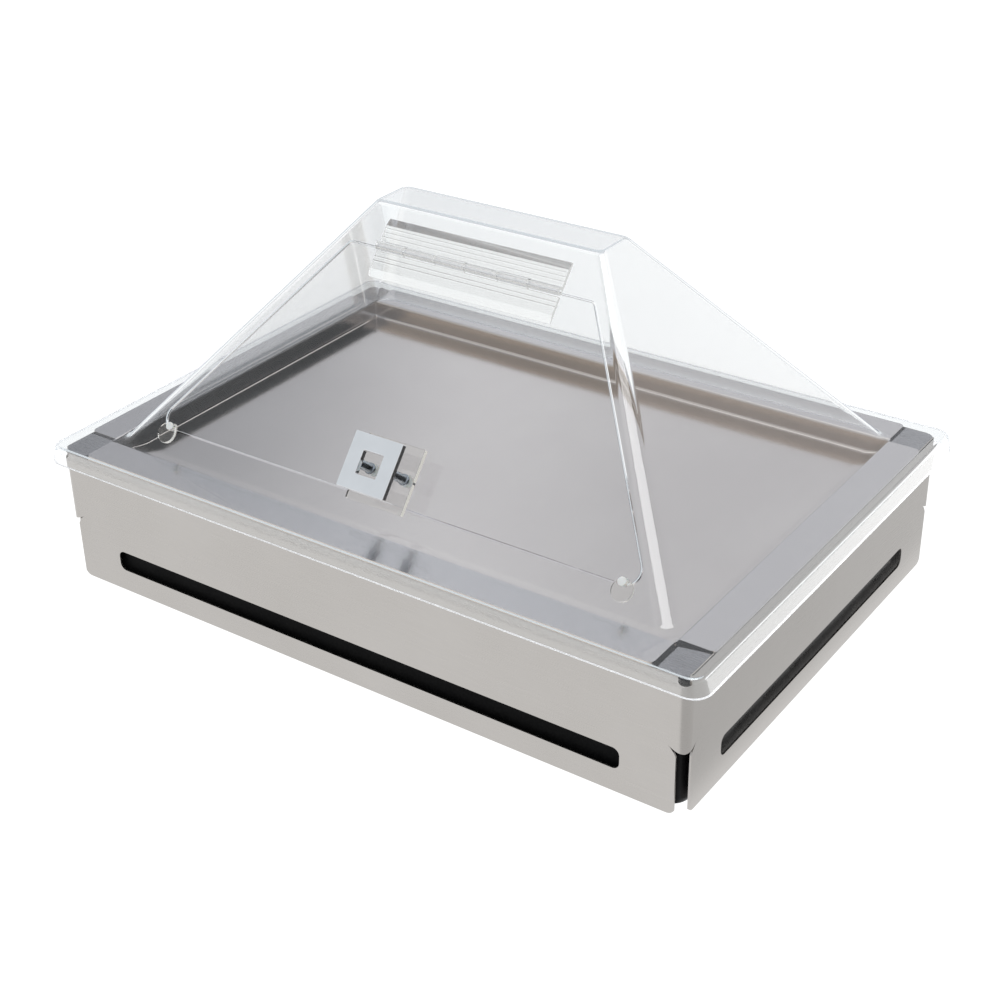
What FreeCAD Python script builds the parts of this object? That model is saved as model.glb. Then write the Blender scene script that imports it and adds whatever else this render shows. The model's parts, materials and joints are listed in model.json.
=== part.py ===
import FreeCAD, Part
import os
from math import atan2, cos, pi, sin, sqrt, tan
from FreeCAD import Vector

# Countertop chilled food display station: a folded stainless sleeve around a black
# insulated tub, cooling plates, a flanged food pan and a clear pyramid cover with a
# door hinged at its top edge. Millimetres, +Z up, front at -Y, width along X. The
# pieces are drawn about the sleeve's centre and saved with the origin on the table
# under the centre of the cover's skirt, 2 mm further back. Cutting tools overshoot
# the surfaces they pass through. HALF_ values are measured from a centre line.

# ---------------------------------------------------------------- driving dimensions
# sleeve
HALF_W, HALF_D = 300.0, 209.7   # outside
TABLE_GAP = 1.5                 # height of the sleeve's lower edge above the table
SHEET = 1.5
LEDGE_TOP = 120.3               # top of the sleeve and its inward ledges
LEDGE_Z = LEDGE_TOP - SHEET
BEND_R = 8.0                    # outside radius of the vertical bends
# tub
TUB_X, TUB_Y = HALF_W - 5.0, HALF_D - 5.0
TUB_R, TUB_T = 16.0, 3.0
TUB_Z, TUB_FLOOR = 0.8, 4.3
RIM_T = 3.0
TUB_TOP = LEDGE_Z - RIM_T
FOOT_R, FOOT_H = 11.0, 2.0
FOOT_X, FOOT_Y = 262.0, 170.0
# cooling plates, two half-size plates side by side
PLATE_W, PLATE_D, PLATE_H = 262.0, 323.0, 31.0
PLATE_GAP = 4.0
PLATE_X = (PLATE_W + PLATE_GAP) / 2    # centre of the right plate
PLATE_Z = 72.0                         # floor of the pockets they stand in
# pan
PAN_T = 1.5
WELL_X, WELL_Y, WELL_DEPTH = 270.5, 178.0, 16.8
FLANGE_END_X, FLANGE_END_Y = 271.0, 174.8    # half lengths of the flanges
FLANGE_TOP = LEDGE_TOP + PAN_T
# cover
COVER_T = 3.0
COVER_LEDGE = FLANGE_TOP + COVER_T     # top face of the cover's ledge
SKIRT_CY = 2.0                         # centres of the skirt and of the pyramid,
PYRAMID_CY = 5.2                       # a little towards the back of the sleeve
FOOT_LINE_X, FOOT_LINE_Y = 267.9, 180.5      # where the faces meet the ledge
TOP_Y, TOP_Z = 19.9, 318.7             # flat top plate
# the four faces share one slope from the horizontal
SLOPE = atan2(TOP_Z - COVER_LEDGE, FOOT_LINE_Y - TOP_Y)
# the pieces on the front face are placed by x across, s up the slope from the foot
# line and off, the distance out of the face
# handle
HANDLE_X, HANDLE_S = 1.3, 43.2         # centre between the posts
POST_X = 16.3                          # from that centre to a post
SCREW_R = 2.0
SCREW_HOLE_R = SCREW_R + 0.2
# rivets of the stops
RIVET_X, RIVET_S, RIVET_R = 218.0, 24.2, 1.4

SIDES = (-1, 1)
CORNERS = [(side_x, side_y) for side_x in SIDES for side_y in SIDES]
X_AXIS, Y_AXIS, Z_AXIS = Vector(1, 0, 0), Vector(0, 1, 0), Vector(0, 0, 1)

os.makedirs("parts", exist_ok=True)


# ---------------------------------------------------------------- helpers
def rounded_rectangle(half_x, half_y, radius, z):
    """edges of a level rounded rectangle, sides and corners in turn from the right side"""
    in_x, in_y = half_x - radius, half_y - radius
    nick = radius * (1 - sqrt(0.5))
    mid_x, mid_y = half_x - nick, half_y - nick
    runs = [
        [(half_x, -in_y), (half_x, in_y)],
        [(half_x, in_y), (mid_x, mid_y), (in_x, half_y)],
        [(in_x, half_y), (-in_x, half_y)],
        [(-in_x, half_y), (-mid_x, mid_y), (-half_x, in_y)],
        [(-half_x, in_y), (-half_x, -in_y)],
        [(-half_x, -in_y), (-mid_x, -mid_y), (-in_x, -half_y)],
        [(-in_x, -half_y), (in_x, -half_y)],
        [(in_x, -half_y), (mid_x, -mid_y), (half_x, -in_y)],
    ]
    edges = []
    for run in runs:
        points = [Vector(x, y, z) for x, y in run]
        kind = Part.LineSegment if len(points) == 2 else Part.Arc
        edges.append(kind(*points).toShape())
    return edges


def rounded_block(half_x, half_y, radius, bottom, top, mid_x=0.0, mid_y=0.0):
    """upright block with rounded vertical edges"""
    outline = Part.Wire(rounded_rectangle(half_x, half_y, radius, bottom))
    block = Part.Face(outline).extrude(Vector(0, 0, top - bottom))
    block.translate(Vector(mid_x, mid_y, 0))
    return block


def stack(sections):
    """closed solid through rounded rectangles (z, half_x, half_y, radius), lowest first"""
    rings = [rounded_rectangle(half_x, half_y, radius, z)
             for z, half_x, half_y, radius in sections]
    faces = [Part.Face(Part.Wire(rings[0]))]
    for lower_ring, upper_ring in zip(rings, rings[1:]):
        for lower, upper in zip(lower_ring, upper_ring):
            if lower.Curve.TypeId == "Part::GeomLine":
                start, end = [vertex.Point for vertex in lower.Vertexes]
                upper_start, upper_end = [vertex.Point for vertex in upper.Vertexes]
                outline = Part.makePolygon([start, end, upper_end, upper_start, start])
                faces.append(Part.Face(outline))
            else:
                faces.append(Part.makeRuledSurface(lower, upper))
    faces.append(Part.Face(Part.Wire(rings[-1])))
    shell = Part.makeShell(faces)
    shell.sewShape()
    solid = Part.makeSolid(Part.Shell(shell.Faces))
    if solid.Volume < 0:
        solid.reverse()
    return solid


def prism(points, direction):
    """solid swept from the closed polygon through points"""
    return Part.Face(Part.makePolygon(points + [points[0]])).extrude(direction)


def profile_face(points, place):
    """face from (kind, (u, v)) points, 'a' marking an arc's middle, mapped by place(u, v)"""
    edges = []
    i = 0
    while i < len(points):
        here = place(*points[i][1])
        kind, following = points[(i + 1) % len(points)]
        if kind == "a":
            after = points[(i + 2) % len(points)][1]
            edges.append(Part.Arc(here, place(*following), place(*after)).toShape())
            i += 2
        else:
            edges.append(Part.LineSegment(here, place(*following)).toShape())
            i += 1
    return Part.Face(Part.Wire(edges))


def low_edges(shape, z):
    """edges lying at or below height z"""
    return [edge for edge in shape.Edges if edge.BoundBox.ZMax < z + 1e-6]


def level_edges(shape):
    return [edge for edge in shape.Edges if edge.BoundBox.ZLength < 1e-6]


def main_solid(shape):
    """the largest solid inside a boolean's result"""
    return max(shape.Solids, key=lambda solid: solid.Volume)


def save(name, *shapes):
    """writes the solids with the skirt's centre moved to the origin"""
    solids = [solid.translated(Vector(0, -SKIRT_CY, 0))
              for shape in shapes for solid in shape.Solids]
    piece = solids[0] if len(solids) == 1 else Part.makeCompound(solids)
    piece.exportStep("parts/%s.step" % name)


def tilt(shape):
    """moves a shape drawn flat as (x, s, off) onto the front face"""
    matrix = FreeCAD.Matrix(1, 0, 0, 0,
                            0, cos(SLOPE), -sin(SLOPE), PYRAMID_CY - FOOT_LINE_Y,
                            0, sin(SLOPE), cos(SLOPE), COVER_LEDGE,
                            0, 0, 0, 1)
    return shape.transformed(matrix, copy=True)


def flat_box(x0, x1, s0, s1, off0, off1):
    return Part.makeBox(x1 - x0, s1 - s0, off1 - off0, Vector(x0, s0, off0))


def flat_cylinder(x, s, radius, off0, off1):
    return Part.makeCylinder(radius, off1 - off0, Vector(x, s, off0), Z_AXIS)


# ---------------------------------------------------------------- sleeve
TOP_EDGE_R = 1.2
SLOT_X, SLOT_Y = 246.9, 157.3   # half lengths of the long slots, front/back and sides
SLOT_LOW, SLOT_HIGH = 21.7, 39.9
SLOT_R = 6.0
PANEL_GAP = 6.9                 # lower panels end this far from the corner
PANEL_R = 7.5                   # radius of the panels' bottom corners
CUT_Z = 46.3                    # where the cut's horn leaves the panel's vertical edge
HORN_GAP, HORN_Z = 14.9, 60.9   # tip of the horn
TONGUE_Z = 55.6                 # lower edge of the tongue at the corner
RELIEF_R, RELIEF_X = 5.5, 297.0     # half-round relief at the top of each bend
RELIEF_DROP, RELIEF_LENGTH = 1.0, 6.0
LEDGE_X, LEDGE_Y = 263.0, 166.0     # half lengths of the ledges
LEDGE_IN_X, LEDGE_IN_Y = 280.0, 187.5   # their inner edges


def corner_cut():
    """cut at one corner's lower half: (kind, (distance from the corner, height))"""
    nick = PANEL_R * (1 - sqrt(0.5))
    return [
        ("l", (-3.0, TABLE_GAP - 4)),
        ("l", (PANEL_GAP + PANEL_R, TABLE_GAP - 4)),
        ("l", (PANEL_GAP + PANEL_R, TABLE_GAP)),
        ("a", (PANEL_GAP + nick, TABLE_GAP + nick)),
        ("l", (PANEL_GAP, TABLE_GAP + PANEL_R)),
        ("l", (PANEL_GAP, CUT_Z)),
        ("a", (PANEL_GAP + 2.3, CUT_Z + 8.4)),
        ("l", (HORN_GAP, HORN_Z)),
        ("a", (8.2, TONGUE_Z + 1.9)),
        ("l", (0.0, TONGUE_Z)),
        ("l", (-3.0, TONGUE_Z)),
    ]


def slot_cutters():
    half_height = (SLOT_HIGH - SLOT_LOW) / 2
    lift = Vector(0, 0, (SLOT_LOW + SLOT_HIGH) / 2)
    along_x = rounded_block(SLOT_X, half_height, SLOT_R, -HALF_D - 5, HALF_D + 5)
    along_x.rotate(Vector(0, 0, 0), X_AXIS, 90)
    along_x.translate(lift)
    along_y = rounded_block(half_height, SLOT_Y, SLOT_R, -HALF_W - 5, HALF_W + 5)
    along_y.rotate(Vector(0, 0, 0), Y_AXIS, 90)
    along_y.translate(lift)
    return [along_x, along_y]


def corner_cutters(side_x, side_y):
    """the corner cut in both walls, then the relief"""
    in_end_wall = profile_face(
        corner_cut(), lambda u, v: Vector(side_x * (HALF_W - u), side_y * (HALF_D + 1), v))
    in_side_wall = profile_face(
        corner_cut(), lambda u, v: Vector(side_x * (HALF_W + 1), side_y * (HALF_D - u), v))
    y_outer = side_y * (HALF_D + 1)
    y_start = min(y_outer, y_outer - side_y * RELIEF_LENGTH)
    start = Vector(side_x * RELIEF_X, y_start, LEDGE_TOP - RELIEF_DROP)
    return [
        in_end_wall.extrude(Vector(0, -side_y * (BEND_R + 1), 0)),
        in_side_wall.extrude(Vector(-side_x * (BEND_R + 1), 0, 0)),
        Part.makeCylinder(RELIEF_R, RELIEF_LENGTH, start, Y_AXIS),
    ]


def make_sleeve():
    body = rounded_block(HALF_W, HALF_D, BEND_R, TABLE_GAP, LEDGE_TOP)
    top_edges = [edge for edge in body.Edges
                 if abs(edge.BoundBox.ZMin - LEDGE_TOP) < 1e-6
                 and abs(edge.BoundBox.ZMax - LEDGE_TOP) < 1e-6]
    body = body.makeFillet(TOP_EDGE_R, top_edges)
    body = body.cut(rounded_block(HALF_W - SHEET, HALF_D - SHEET, BEND_R - SHEET,
                                  TABLE_GAP - 1, LEDGE_TOP + 1))
    # inward ledges, rooted in the middle of the sheet
    for side in SIDES:
        y0, y1 = sorted((side * LEDGE_IN_Y, side * (HALF_D - SHEET / 2)))
        body = body.fuse(Part.makeBox(2 * LEDGE_X, y1 - y0, SHEET,
                                      Vector(-LEDGE_X, y0, LEDGE_Z)))
    for side in SIDES:
        x0, x1 = sorted((side * LEDGE_IN_X, side * (HALF_W - SHEET / 2)))
        body = body.fuse(Part.makeBox(x1 - x0, 2 * LEDGE_Y, SHEET,
                                      Vector(x0, -LEDGE_Y, LEDGE_Z)))
    cutters = slot_cutters()
    for side_x, side_y in CORNERS:
        cutters += corner_cutters(side_x, side_y)
    for cutter in cutters:
        body = body.cut(cutter)
    return main_solid(body.removeSplitter())


save("housing_shell", make_sleeve())


# ---------------------------------------------------------------- corner plates
CORNER_PLATE_INSET = SHEET + 0.1    # from the sleeve's outside
CORNER_PLATE_GAP = 2.0              # from the flanges' ends
CORNER_PLATE_R = 0.9
# gaps of the askew plate: in x, and in y at its inner and outer ends
SKEW_GAP_X, SKEW_GAP_INNER, SKEW_GAP_OUTER = 3.7, 6.0, 1.0


def make_corner_plate(side_x, side_y):
    """flat plate between the ledges; the front right one is set askew, with a gap
    that narrows towards the outside"""
    gap_x = gap_inner = gap_outer = CORNER_PLATE_GAP
    if side_x > 0 and side_y < 0:
        gap_x, gap_inner, gap_outer = SKEW_GAP_X, SKEW_GAP_INNER, SKEW_GAP_OUTER
    inner_x = FLANGE_END_X + gap_x
    outer_x, outer_y = HALF_W - CORNER_PLATE_INSET, HALF_D - CORNER_PLATE_INSET
    outline = [(inner_x, FLANGE_END_Y + gap_inner), (outer_x, FLANGE_END_Y + gap_outer),
               (outer_x, outer_y), (inner_x, outer_y)]
    plate = prism([Vector(side_x * x, side_y * y, LEDGE_Z) for x, y in outline],
                  Vector(0, 0, SHEET))

    def at_outer_corner(edge):
        point = edge.Vertexes[0]
        return abs(abs(point.X) - outer_x) < 0.01 and abs(abs(point.Y) - outer_y) < 0.01

    upright = [edge for edge in plate.Edges
               if edge.BoundBox.ZLength > 1 and not at_outer_corner(edge)]
    plate = plate.makeFillet(CORNER_PLATE_R, upright)
    # the outer corner follows the sleeve's bend
    return main_solid(plate.common(rounded_block(
        outer_x, outer_y, BEND_R - CORNER_PLATE_INSET, LEDGE_TOP - 5, LEDGE_TOP + 5)))


save("corner_plates", *[make_corner_plate(*corner) for corner in CORNERS])


# ---------------------------------------------------------------- tub, rim, feet
TUB_EDGE_R = 8.0
RIM_X, RIM_Y, RIM_R = HALF_W - SHEET - 0.7, HALF_D - SHEET - 0.7, 6.2
RIM_IN_X, RIM_IN_Y, RIM_IN_R = 274.5, 182.5, 4.0
LIP_GAP, LIP_T, LIP_DEPTH = 0.4, 2.5, 9.0    # lip hanging from the rim inside the tub
FOOT_GAP, FOOT_EDGE_R = 0.3, 0.4


def make_tub():
    outer = rounded_block(TUB_X, TUB_Y, TUB_R, TUB_Z, TUB_TOP)
    outer = outer.makeFillet(TUB_EDGE_R, low_edges(outer, TUB_Z))
    inner = rounded_block(TUB_X - TUB_T, TUB_Y - TUB_T, TUB_R - TUB_T,
                          TUB_FLOOR, TUB_TOP + 5)
    inner = inner.makeFillet(TUB_EDGE_R - TUB_T, low_edges(inner, TUB_FLOOR))
    body = outer.cut(inner)
    for side_x, side_y in CORNERS:
        seat = Vector(side_x * FOOT_X, side_y * FOOT_Y, -5)
        body = body.cut(Part.makeCylinder(FOOT_R, FOOT_H + 5, seat))
    return main_solid(body)


def make_rim():
    ring = rounded_block(RIM_X, RIM_Y, RIM_R, TUB_TOP, TUB_TOP + RIM_T)
    ring = ring.cut(rounded_block(RIM_IN_X, RIM_IN_Y, RIM_IN_R,
                                  TUB_TOP - 1, TUB_TOP + RIM_T + 1))
    outer = TUB_T + LIP_GAP
    inner = outer + LIP_T
    lip = rounded_block(TUB_X - outer, TUB_Y - outer, TUB_R - outer,
                        TUB_TOP - LIP_DEPTH, TUB_TOP)
    lip = lip.cut(rounded_block(TUB_X - inner, TUB_Y - inner, TUB_R - inner,
                                TUB_TOP - LIP_DEPTH - 1, TUB_TOP + 1))
    return main_solid(ring.fuse(lip).removeSplitter())


def make_foot(side_x, side_y):
    foot = Part.makeCylinder(FOOT_R - FOOT_GAP, FOOT_H,
                             Vector(side_x * FOOT_X, side_y * FOOT_Y, 0))
    return foot.makeFillet(FOOT_EDGE_R, low_edges(foot, 0))


save("cold_tub", make_tub())
save("tub_rim", make_rim())
save("rubber_feet", *[make_foot(*corner) for corner in CORNERS])


# ---------------------------------------------------------------- insulation tray
TRAY_X, TRAY_Y, TRAY_R, TRAY_EDGE_R = 286.0, 194.0, 12.0, 6.0
TRAY_TOP = 84.0
POCKET_GAP, POCKET_R = 1.0, 11.0
SCOOP_X, SCOOP_Y, SCOOP_R = 35.0, 16.0, 12.0    # half sizes and corner radius
SCOOP_SHIFT = 6.0               # scoop's centre beyond the plate's edge
TRAY_RIB, TRAY_SKIN = 15.0, 14.0    # left between and above the recesses underneath
RECESS_R = 8.0
RECESSES_X, RECESSES_Y = 4, 2


def make_insulation():
    body = rounded_block(TRAY_X, TRAY_Y, TRAY_R, TUB_FLOOR, TRAY_TOP)
    body = body.makeFillet(TRAY_EDGE_R, low_edges(body, TUB_FLOOR))
    for side in SIDES:
        body = body.cut(rounded_block(PLATE_W / 2 + POCKET_GAP, PLATE_D / 2 + POCKET_GAP,
                                      POCKET_R, PLATE_Z, TRAY_TOP + 5, side * PLATE_X, 0))
    # finger scoops in front of and behind each plate
    for side_x, side_y in CORNERS:
        body = body.cut(rounded_block(SCOOP_X, SCOOP_Y, SCOOP_R, PLATE_Z, TRAY_TOP + 5,
                                      side_x * PLATE_X, side_y * (PLATE_D / 2 + SCOOP_SHIFT)))
    # open recesses in the underside, between ribs
    width = (2 * (TRAY_X - TRAY_RIB) - (RECESSES_X - 1) * TRAY_RIB) / RECESSES_X
    depth = (2 * (TRAY_Y - TRAY_RIB) - (RECESSES_Y - 1) * TRAY_RIB) / RECESSES_Y
    for i in range(RECESSES_X):
        for j in range(RECESSES_Y):
            mid_x = -TRAY_X + TRAY_RIB + width / 2 + i * (width + TRAY_RIB)
            mid_y = -TRAY_Y + TRAY_RIB + depth / 2 + j * (depth + TRAY_RIB)
            body = body.cut(rounded_block(width / 2, depth / 2, RECESS_R, TUB_FLOOR - 5,
                                          PLATE_Z - TRAY_SKIN, mid_x, mid_y))
    return main_solid(body)


save("insulation_tray", make_insulation())


# ---------------------------------------------------------------- cooling plates
PLATE_T, PLATE_R, PLATE_EDGE_R = 2.5, 10.0, 3.0
PLATE_TOP = PLATE_Z + PLATE_H
PLATE_ROOF = PLATE_T + 1.0             # thickness above the hollow
CHANNEL_W, CHANNEL_DEPTH = 4.0, 1.2    # shallow channels in the top face
CHANNEL_PITCH, CHANNEL_END = 62.0, 30.0
PORT_R, PORT_DEPTH, PORT_INSET = 14.0, 11.0, 34.0
PORT_Y = -PLATE_D / 2 + PORT_INSET
FILL_GAP, FILL_HEADROOM, FILL_PORT_GAP = 0.2, 1.6, 0.6
CAP_GAP, CAP_BOTTOM, CAP_H = 0.1, 10.6, 10.4    # CAP_BOTTOM is below the plate's top
CAP_SLOT_L, CAP_SLOT_W, CAP_SLOT_DEPTH = 20.0, 3.0, 2.2


def port_point(mid_x, depth):
    """point on the filler port's axis, at a depth below the plate's top"""
    return Vector(mid_x - PLATE_W / 2 + PORT_INSET, PORT_Y, PLATE_TOP - depth)


def plate_hollow(mid_x):
    return rounded_block(PLATE_W / 2 - PLATE_T, PLATE_D / 2 - PLATE_T, PLATE_R - PLATE_T,
                         PLATE_Z + PLATE_T, PLATE_TOP - PLATE_ROOF, mid_x, 0)


def make_plate(mid_x):
    plate = rounded_block(PLATE_W / 2, PLATE_D / 2, PLATE_R, PLATE_Z, PLATE_TOP, mid_x, 0)
    rims = [edge for edge in plate.Edges if edge.BoundBox.ZMax < PLATE_Z + 1e-6
            or edge.BoundBox.ZMin > PLATE_TOP - 1e-6]
    plate = plate.makeFillet(PLATE_EDGE_R, rims)
    for i in (-1, 0, 1):
        start = Vector(mid_x + i * CHANNEL_PITCH - CHANNEL_W / 2,
                       -PLATE_D / 2 + CHANNEL_END, PLATE_TOP - CHANNEL_DEPTH)
        plate = plate.cut(Part.makeBox(CHANNEL_W, PLATE_D - 2 * CHANNEL_END, 2.0, start))
    port = Part.makeCylinder(PORT_R, PORT_DEPTH + 1, port_point(mid_x, PORT_DEPTH))
    return main_solid(plate.cut(plate_hollow(mid_x)).cut(port))


def make_fill(mid_x):
    """filling of the hollow, short of its walls and roof and clear of the port"""
    hollow = plate_hollow(mid_x)
    bounds = hollow.BoundBox
    room = Part.makeBox(bounds.XLength - 2 * FILL_GAP, bounds.YLength - 2 * FILL_GAP,
                        bounds.ZLength - FILL_HEADROOM,
                        Vector(bounds.XMin + FILL_GAP, bounds.YMin + FILL_GAP, bounds.ZMin))
    around_port = Part.makeCylinder(PORT_R + FILL_PORT_GAP, 14.0,
                                    port_point(mid_x, PORT_DEPTH + FILL_PORT_GAP))
    return main_solid(hollow.common(room).cut(around_port))


def make_cap(mid_x):
    cap = Part.makeCylinder(PORT_R - CAP_GAP, CAP_H, port_point(mid_x, CAP_BOTTOM))
    start = port_point(mid_x, CAP_SLOT_DEPTH) - Vector(CAP_SLOT_L / 2, CAP_SLOT_W / 2, 0)
    return main_solid(cap.cut(Part.makeBox(CAP_SLOT_L, CAP_SLOT_W, 3.0, start)))


for side_name, plate_x in (("left", -PLATE_X), ("right", PLATE_X)):
    save("cooling_plate_" + side_name, make_plate(plate_x))
    save("eutectic_fill_" + side_name, make_fill(plate_x))
save("filler_caps", *[make_cap(side * PLATE_X) for side in SIDES])


# ---------------------------------------------------------------- food pan
PAN_FLOOR = FLANGE_TOP - WELL_DEPTH
PAN_OUT_R, PAN_IN_R = 1.6, 0.9              # vertical corners of the well
PAN_OUT_EDGE_R, PAN_IN_EDGE_R = 4.2, 2.8    # edges of its floor
FLANGE_R = 4.5
FLANGE_LAP = 8.0            # flanges reach this far inside the wall before the well is cut
PAN_BEND = 2.4              # outside radius of the bends between walls and flanges
# V between the flanges at each inner corner: x and y beyond the well's corner
PAN_RELIEF = [(0.2, 0.2), (5, 1.6), (5, 5), (1.2, 5)]


def flange_blocks():
    bottom = FLANGE_TOP - PAN_T
    half_x, mid_x = (HALF_W - WELL_X + FLANGE_LAP) / 2, (HALF_W + WELL_X - FLANGE_LAP) / 2
    half_y, mid_y = (HALF_D - WELL_Y + FLANGE_LAP) / 2, (HALF_D + WELL_Y - FLANGE_LAP) / 2
    return [rounded_block(FLANGE_END_X, half_y, FLANGE_R, bottom, FLANGE_TOP,
                          0, side * mid_y) for side in (1, -1)] + [
            rounded_block(half_x, FLANGE_END_Y, FLANGE_R, bottom, FLANGE_TOP,
                          side * mid_x, 0) for side in (1, -1)]


def bend_bars():
    """cutters that round the bends at the back and right, with their mirror normals"""
    bend_z = FLANGE_TOP - PAN_BEND
    size = PAN_BEND + 0.5
    back = Part.makeBox(2 * FLANGE_END_X, size, size,
                        Vector(-FLANGE_END_X, WELL_Y - 0.5, bend_z))
    back = back.cut(Part.makeCylinder(
        PAN_BEND, 2 * FLANGE_END_X + 10,
        Vector(-FLANGE_END_X - 5, WELL_Y + PAN_BEND, bend_z), X_AXIS))
    right = Part.makeBox(size, 2 * FLANGE_END_Y, size,
                         Vector(WELL_X - 0.5, -FLANGE_END_Y, bend_z))
    right = right.cut(Part.makeCylinder(
        PAN_BEND, 2 * FLANGE_END_Y + 10,
        Vector(WELL_X + PAN_BEND, -FLANGE_END_Y - 5, bend_z), Y_AXIS))
    return [(main_solid(back), Y_AXIS), (main_solid(right), X_AXIS)]


def make_pan():
    out_x, out_y = WELL_X + PAN_T, WELL_Y + PAN_T
    bottom, flange_z = PAN_FLOOR - PAN_T, FLANGE_TOP - PAN_T
    body = rounded_block(out_x, out_y, PAN_OUT_R, bottom, flange_z)
    body = body.makeFillet(PAN_OUT_EDGE_R, low_edges(body, bottom))
    for flange in flange_blocks():
        body = body.fuse(flange)
    # the collar joins the wall to the flanges
    body = body.fuse(rounded_block(out_x, out_y, PAN_OUT_R, flange_z, FLANGE_TOP))
    well = rounded_block(WELL_X, WELL_Y, PAN_IN_R, PAN_FLOOR, FLANGE_TOP + 5)
    well = well.makeFillet(PAN_IN_EDGE_R, low_edges(well, PAN_FLOOR))
    body = body.cut(well)
    bars = bend_bars()
    for side in SIDES:
        for bar, normal in bars:
            body = body.cut(bar if side > 0 else bar.mirror(Vector(0, 0, 0), normal))
    for side_x, side_y in CORNERS:
        points = [Vector(side_x * (WELL_X + x), side_y * (WELL_Y + y), FLANGE_TOP - 3)
                  for x, y in PAN_RELIEF]
        body = body.cut(prism(points, Vector(0, 0, 6)))
    return main_solid(body.removeSplitter())


save("food_pan", make_pan())


# ---------------------------------------------------------------- cover and door
SKIRT_X, SKIRT_Y, SKIRT_R = 310.5, 217.3, 13.0              # outside of the skirt's top
SKIRT_LOW_X, SKIRT_LOW_Y, SKIRT_LOW_R = 313.5, 218.5, 15.0  # and of its lower edge
SKIRT_Z = 109.5
SKIRT_BEND = 4.0
FOOT_FILLET, TOP_FILLET = 9.0, 7.0
HIP_FOOT_R, HIP_TOP_R = 18.0, 6.0   # radius of the hips at the foot and at the top
HIP_INNER_DROP = 3.85               # the hollow's hips are this much sharper
DOOR_LOW, DOOR_HIGH = 21.5, 214.5   # s of the door's bottom and top edges
DOOR_LOW_X, DOOR_HIGH_X = 238.7, 115.8   # half widths there
DOOR_LOW_R, DOOR_HIGH_R = 12.0, 6.0
DOOR_KERF = 1.2
DOOR_REACH = 40.0                   # the outline's prism, either side of the face


def face_line(z, foot, inset):
    """half width at height z of the straight face through foot, moved inward by inset"""
    return foot - (z - COVER_LEDGE) / tan(SLOPE) - inset / sin(SLOPE)


def pyramid_half_width(z, foot, inset):
    """the same with the fillets at the foot and the top"""
    # the foot fillet's centre is above the ledge and outside the face
    radius = FOOT_FILLET + inset
    mid_z = COVER_LEDGE - inset + radius
    if z < mid_z - radius * cos(SLOPE) - 1e-9:
        middle = face_line(mid_z, foot, inset) + radius / sin(SLOPE)
        return middle - sqrt(max(radius * radius - (mid_z - z) ** 2, 0.0))
    # the top fillet's centre is below the top and inside the face
    radius = TOP_FILLET - inset
    mid_z = TOP_Z - inset - radius
    if z > mid_z + radius * cos(SLOPE) + 1e-9:
        middle = face_line(mid_z, foot, inset) - radius / sin(SLOPE)
        return middle + sqrt(max(radius * radius - (z - mid_z) ** 2, 0.0))
    return face_line(z, foot, inset)


def pyramid_sections(inset):
    """sections of the pyramid from the ledge up, its surface moved inward by inset"""
    foot_r, top_r = FOOT_FILLET + inset, TOP_FILLET - inset
    heights = [COVER_LEDGE - inset + foot_r * (1 - cos(SLOPE * i / 5.0)) for i in range(6)]
    heights += [TOP_Z - inset - top_r * (1 - cos(SLOPE * (4 - i) / 4.0)) for i in range(5)]
    sections = []
    for z in heights:
        half_x = pyramid_half_width(z, FOOT_LINE_X, inset)
        half_y = pyramid_half_width(z, FOOT_LINE_Y, inset)
        rise = max((z - COVER_LEDGE) / (TOP_Z - COVER_LEDGE), 0.0)
        hip_r = HIP_FOOT_R + (HIP_TOP_R - HIP_FOOT_R) * rise
        if inset > 0:
            hip_r -= HIP_INNER_DROP
        # the hip radius grows through the foot fillet
        hip_r += max(half_y - face_line(z, FOOT_LINE_Y, inset), 0.0)
        sections.append((z, half_x, half_y, hip_r))
    return sections


def skirt_section(z, inset):
    return (z, SKIRT_X - inset, SKIRT_Y - inset, SKIRT_R - inset)


def make_closed_cover():
    """the cover before the door is cut out"""
    skirt = [(SKIRT_Z, SKIRT_LOW_X, SKIRT_LOW_Y, SKIRT_LOW_R),
             skirt_section(COVER_LEDGE - SKIRT_BEND, 0.0)]
    for i in (1, 2, 3):
        angle = pi / 2 * i / 3.0
        skirt.append(skirt_section(COVER_LEDGE - SKIRT_BEND * (1 - sin(angle)),
                                   SKIRT_BEND * (1 - cos(angle))))
    slab = stack(skirt)
    slab.translate(Vector(0, SKIRT_CY, 0))
    pyramid = stack(pyramid_sections(0.0))
    pyramid.translate(Vector(0, PYRAMID_CY, 0))
    outer = slab.fuse(pyramid)
    # hollow of the skirt below the ledge, then hollow of the pyramid
    ceiling = COVER_LEDGE - COVER_T
    skirt_hollow = stack([
        (SKIRT_Z - 5, SKIRT_LOW_X - COVER_T + 1.0, SKIRT_LOW_Y - COVER_T + 0.4,
         SKIRT_LOW_R - COVER_T),
        skirt_section(ceiling - 1.0, COVER_T),
        skirt_section(ceiling - 0.3, COVER_T + 0.3),
        skirt_section(ceiling, COVER_T + 1.0),
    ])
    skirt_hollow.translate(Vector(0, SKIRT_CY, 0))
    pyramid_hollow = stack(pyramid_sections(COVER_T))
    pyramid_hollow.translate(Vector(0, PYRAMID_CY, 0))
    return outer.cut(skirt_hollow).cut(pyramid_hollow)


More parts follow.
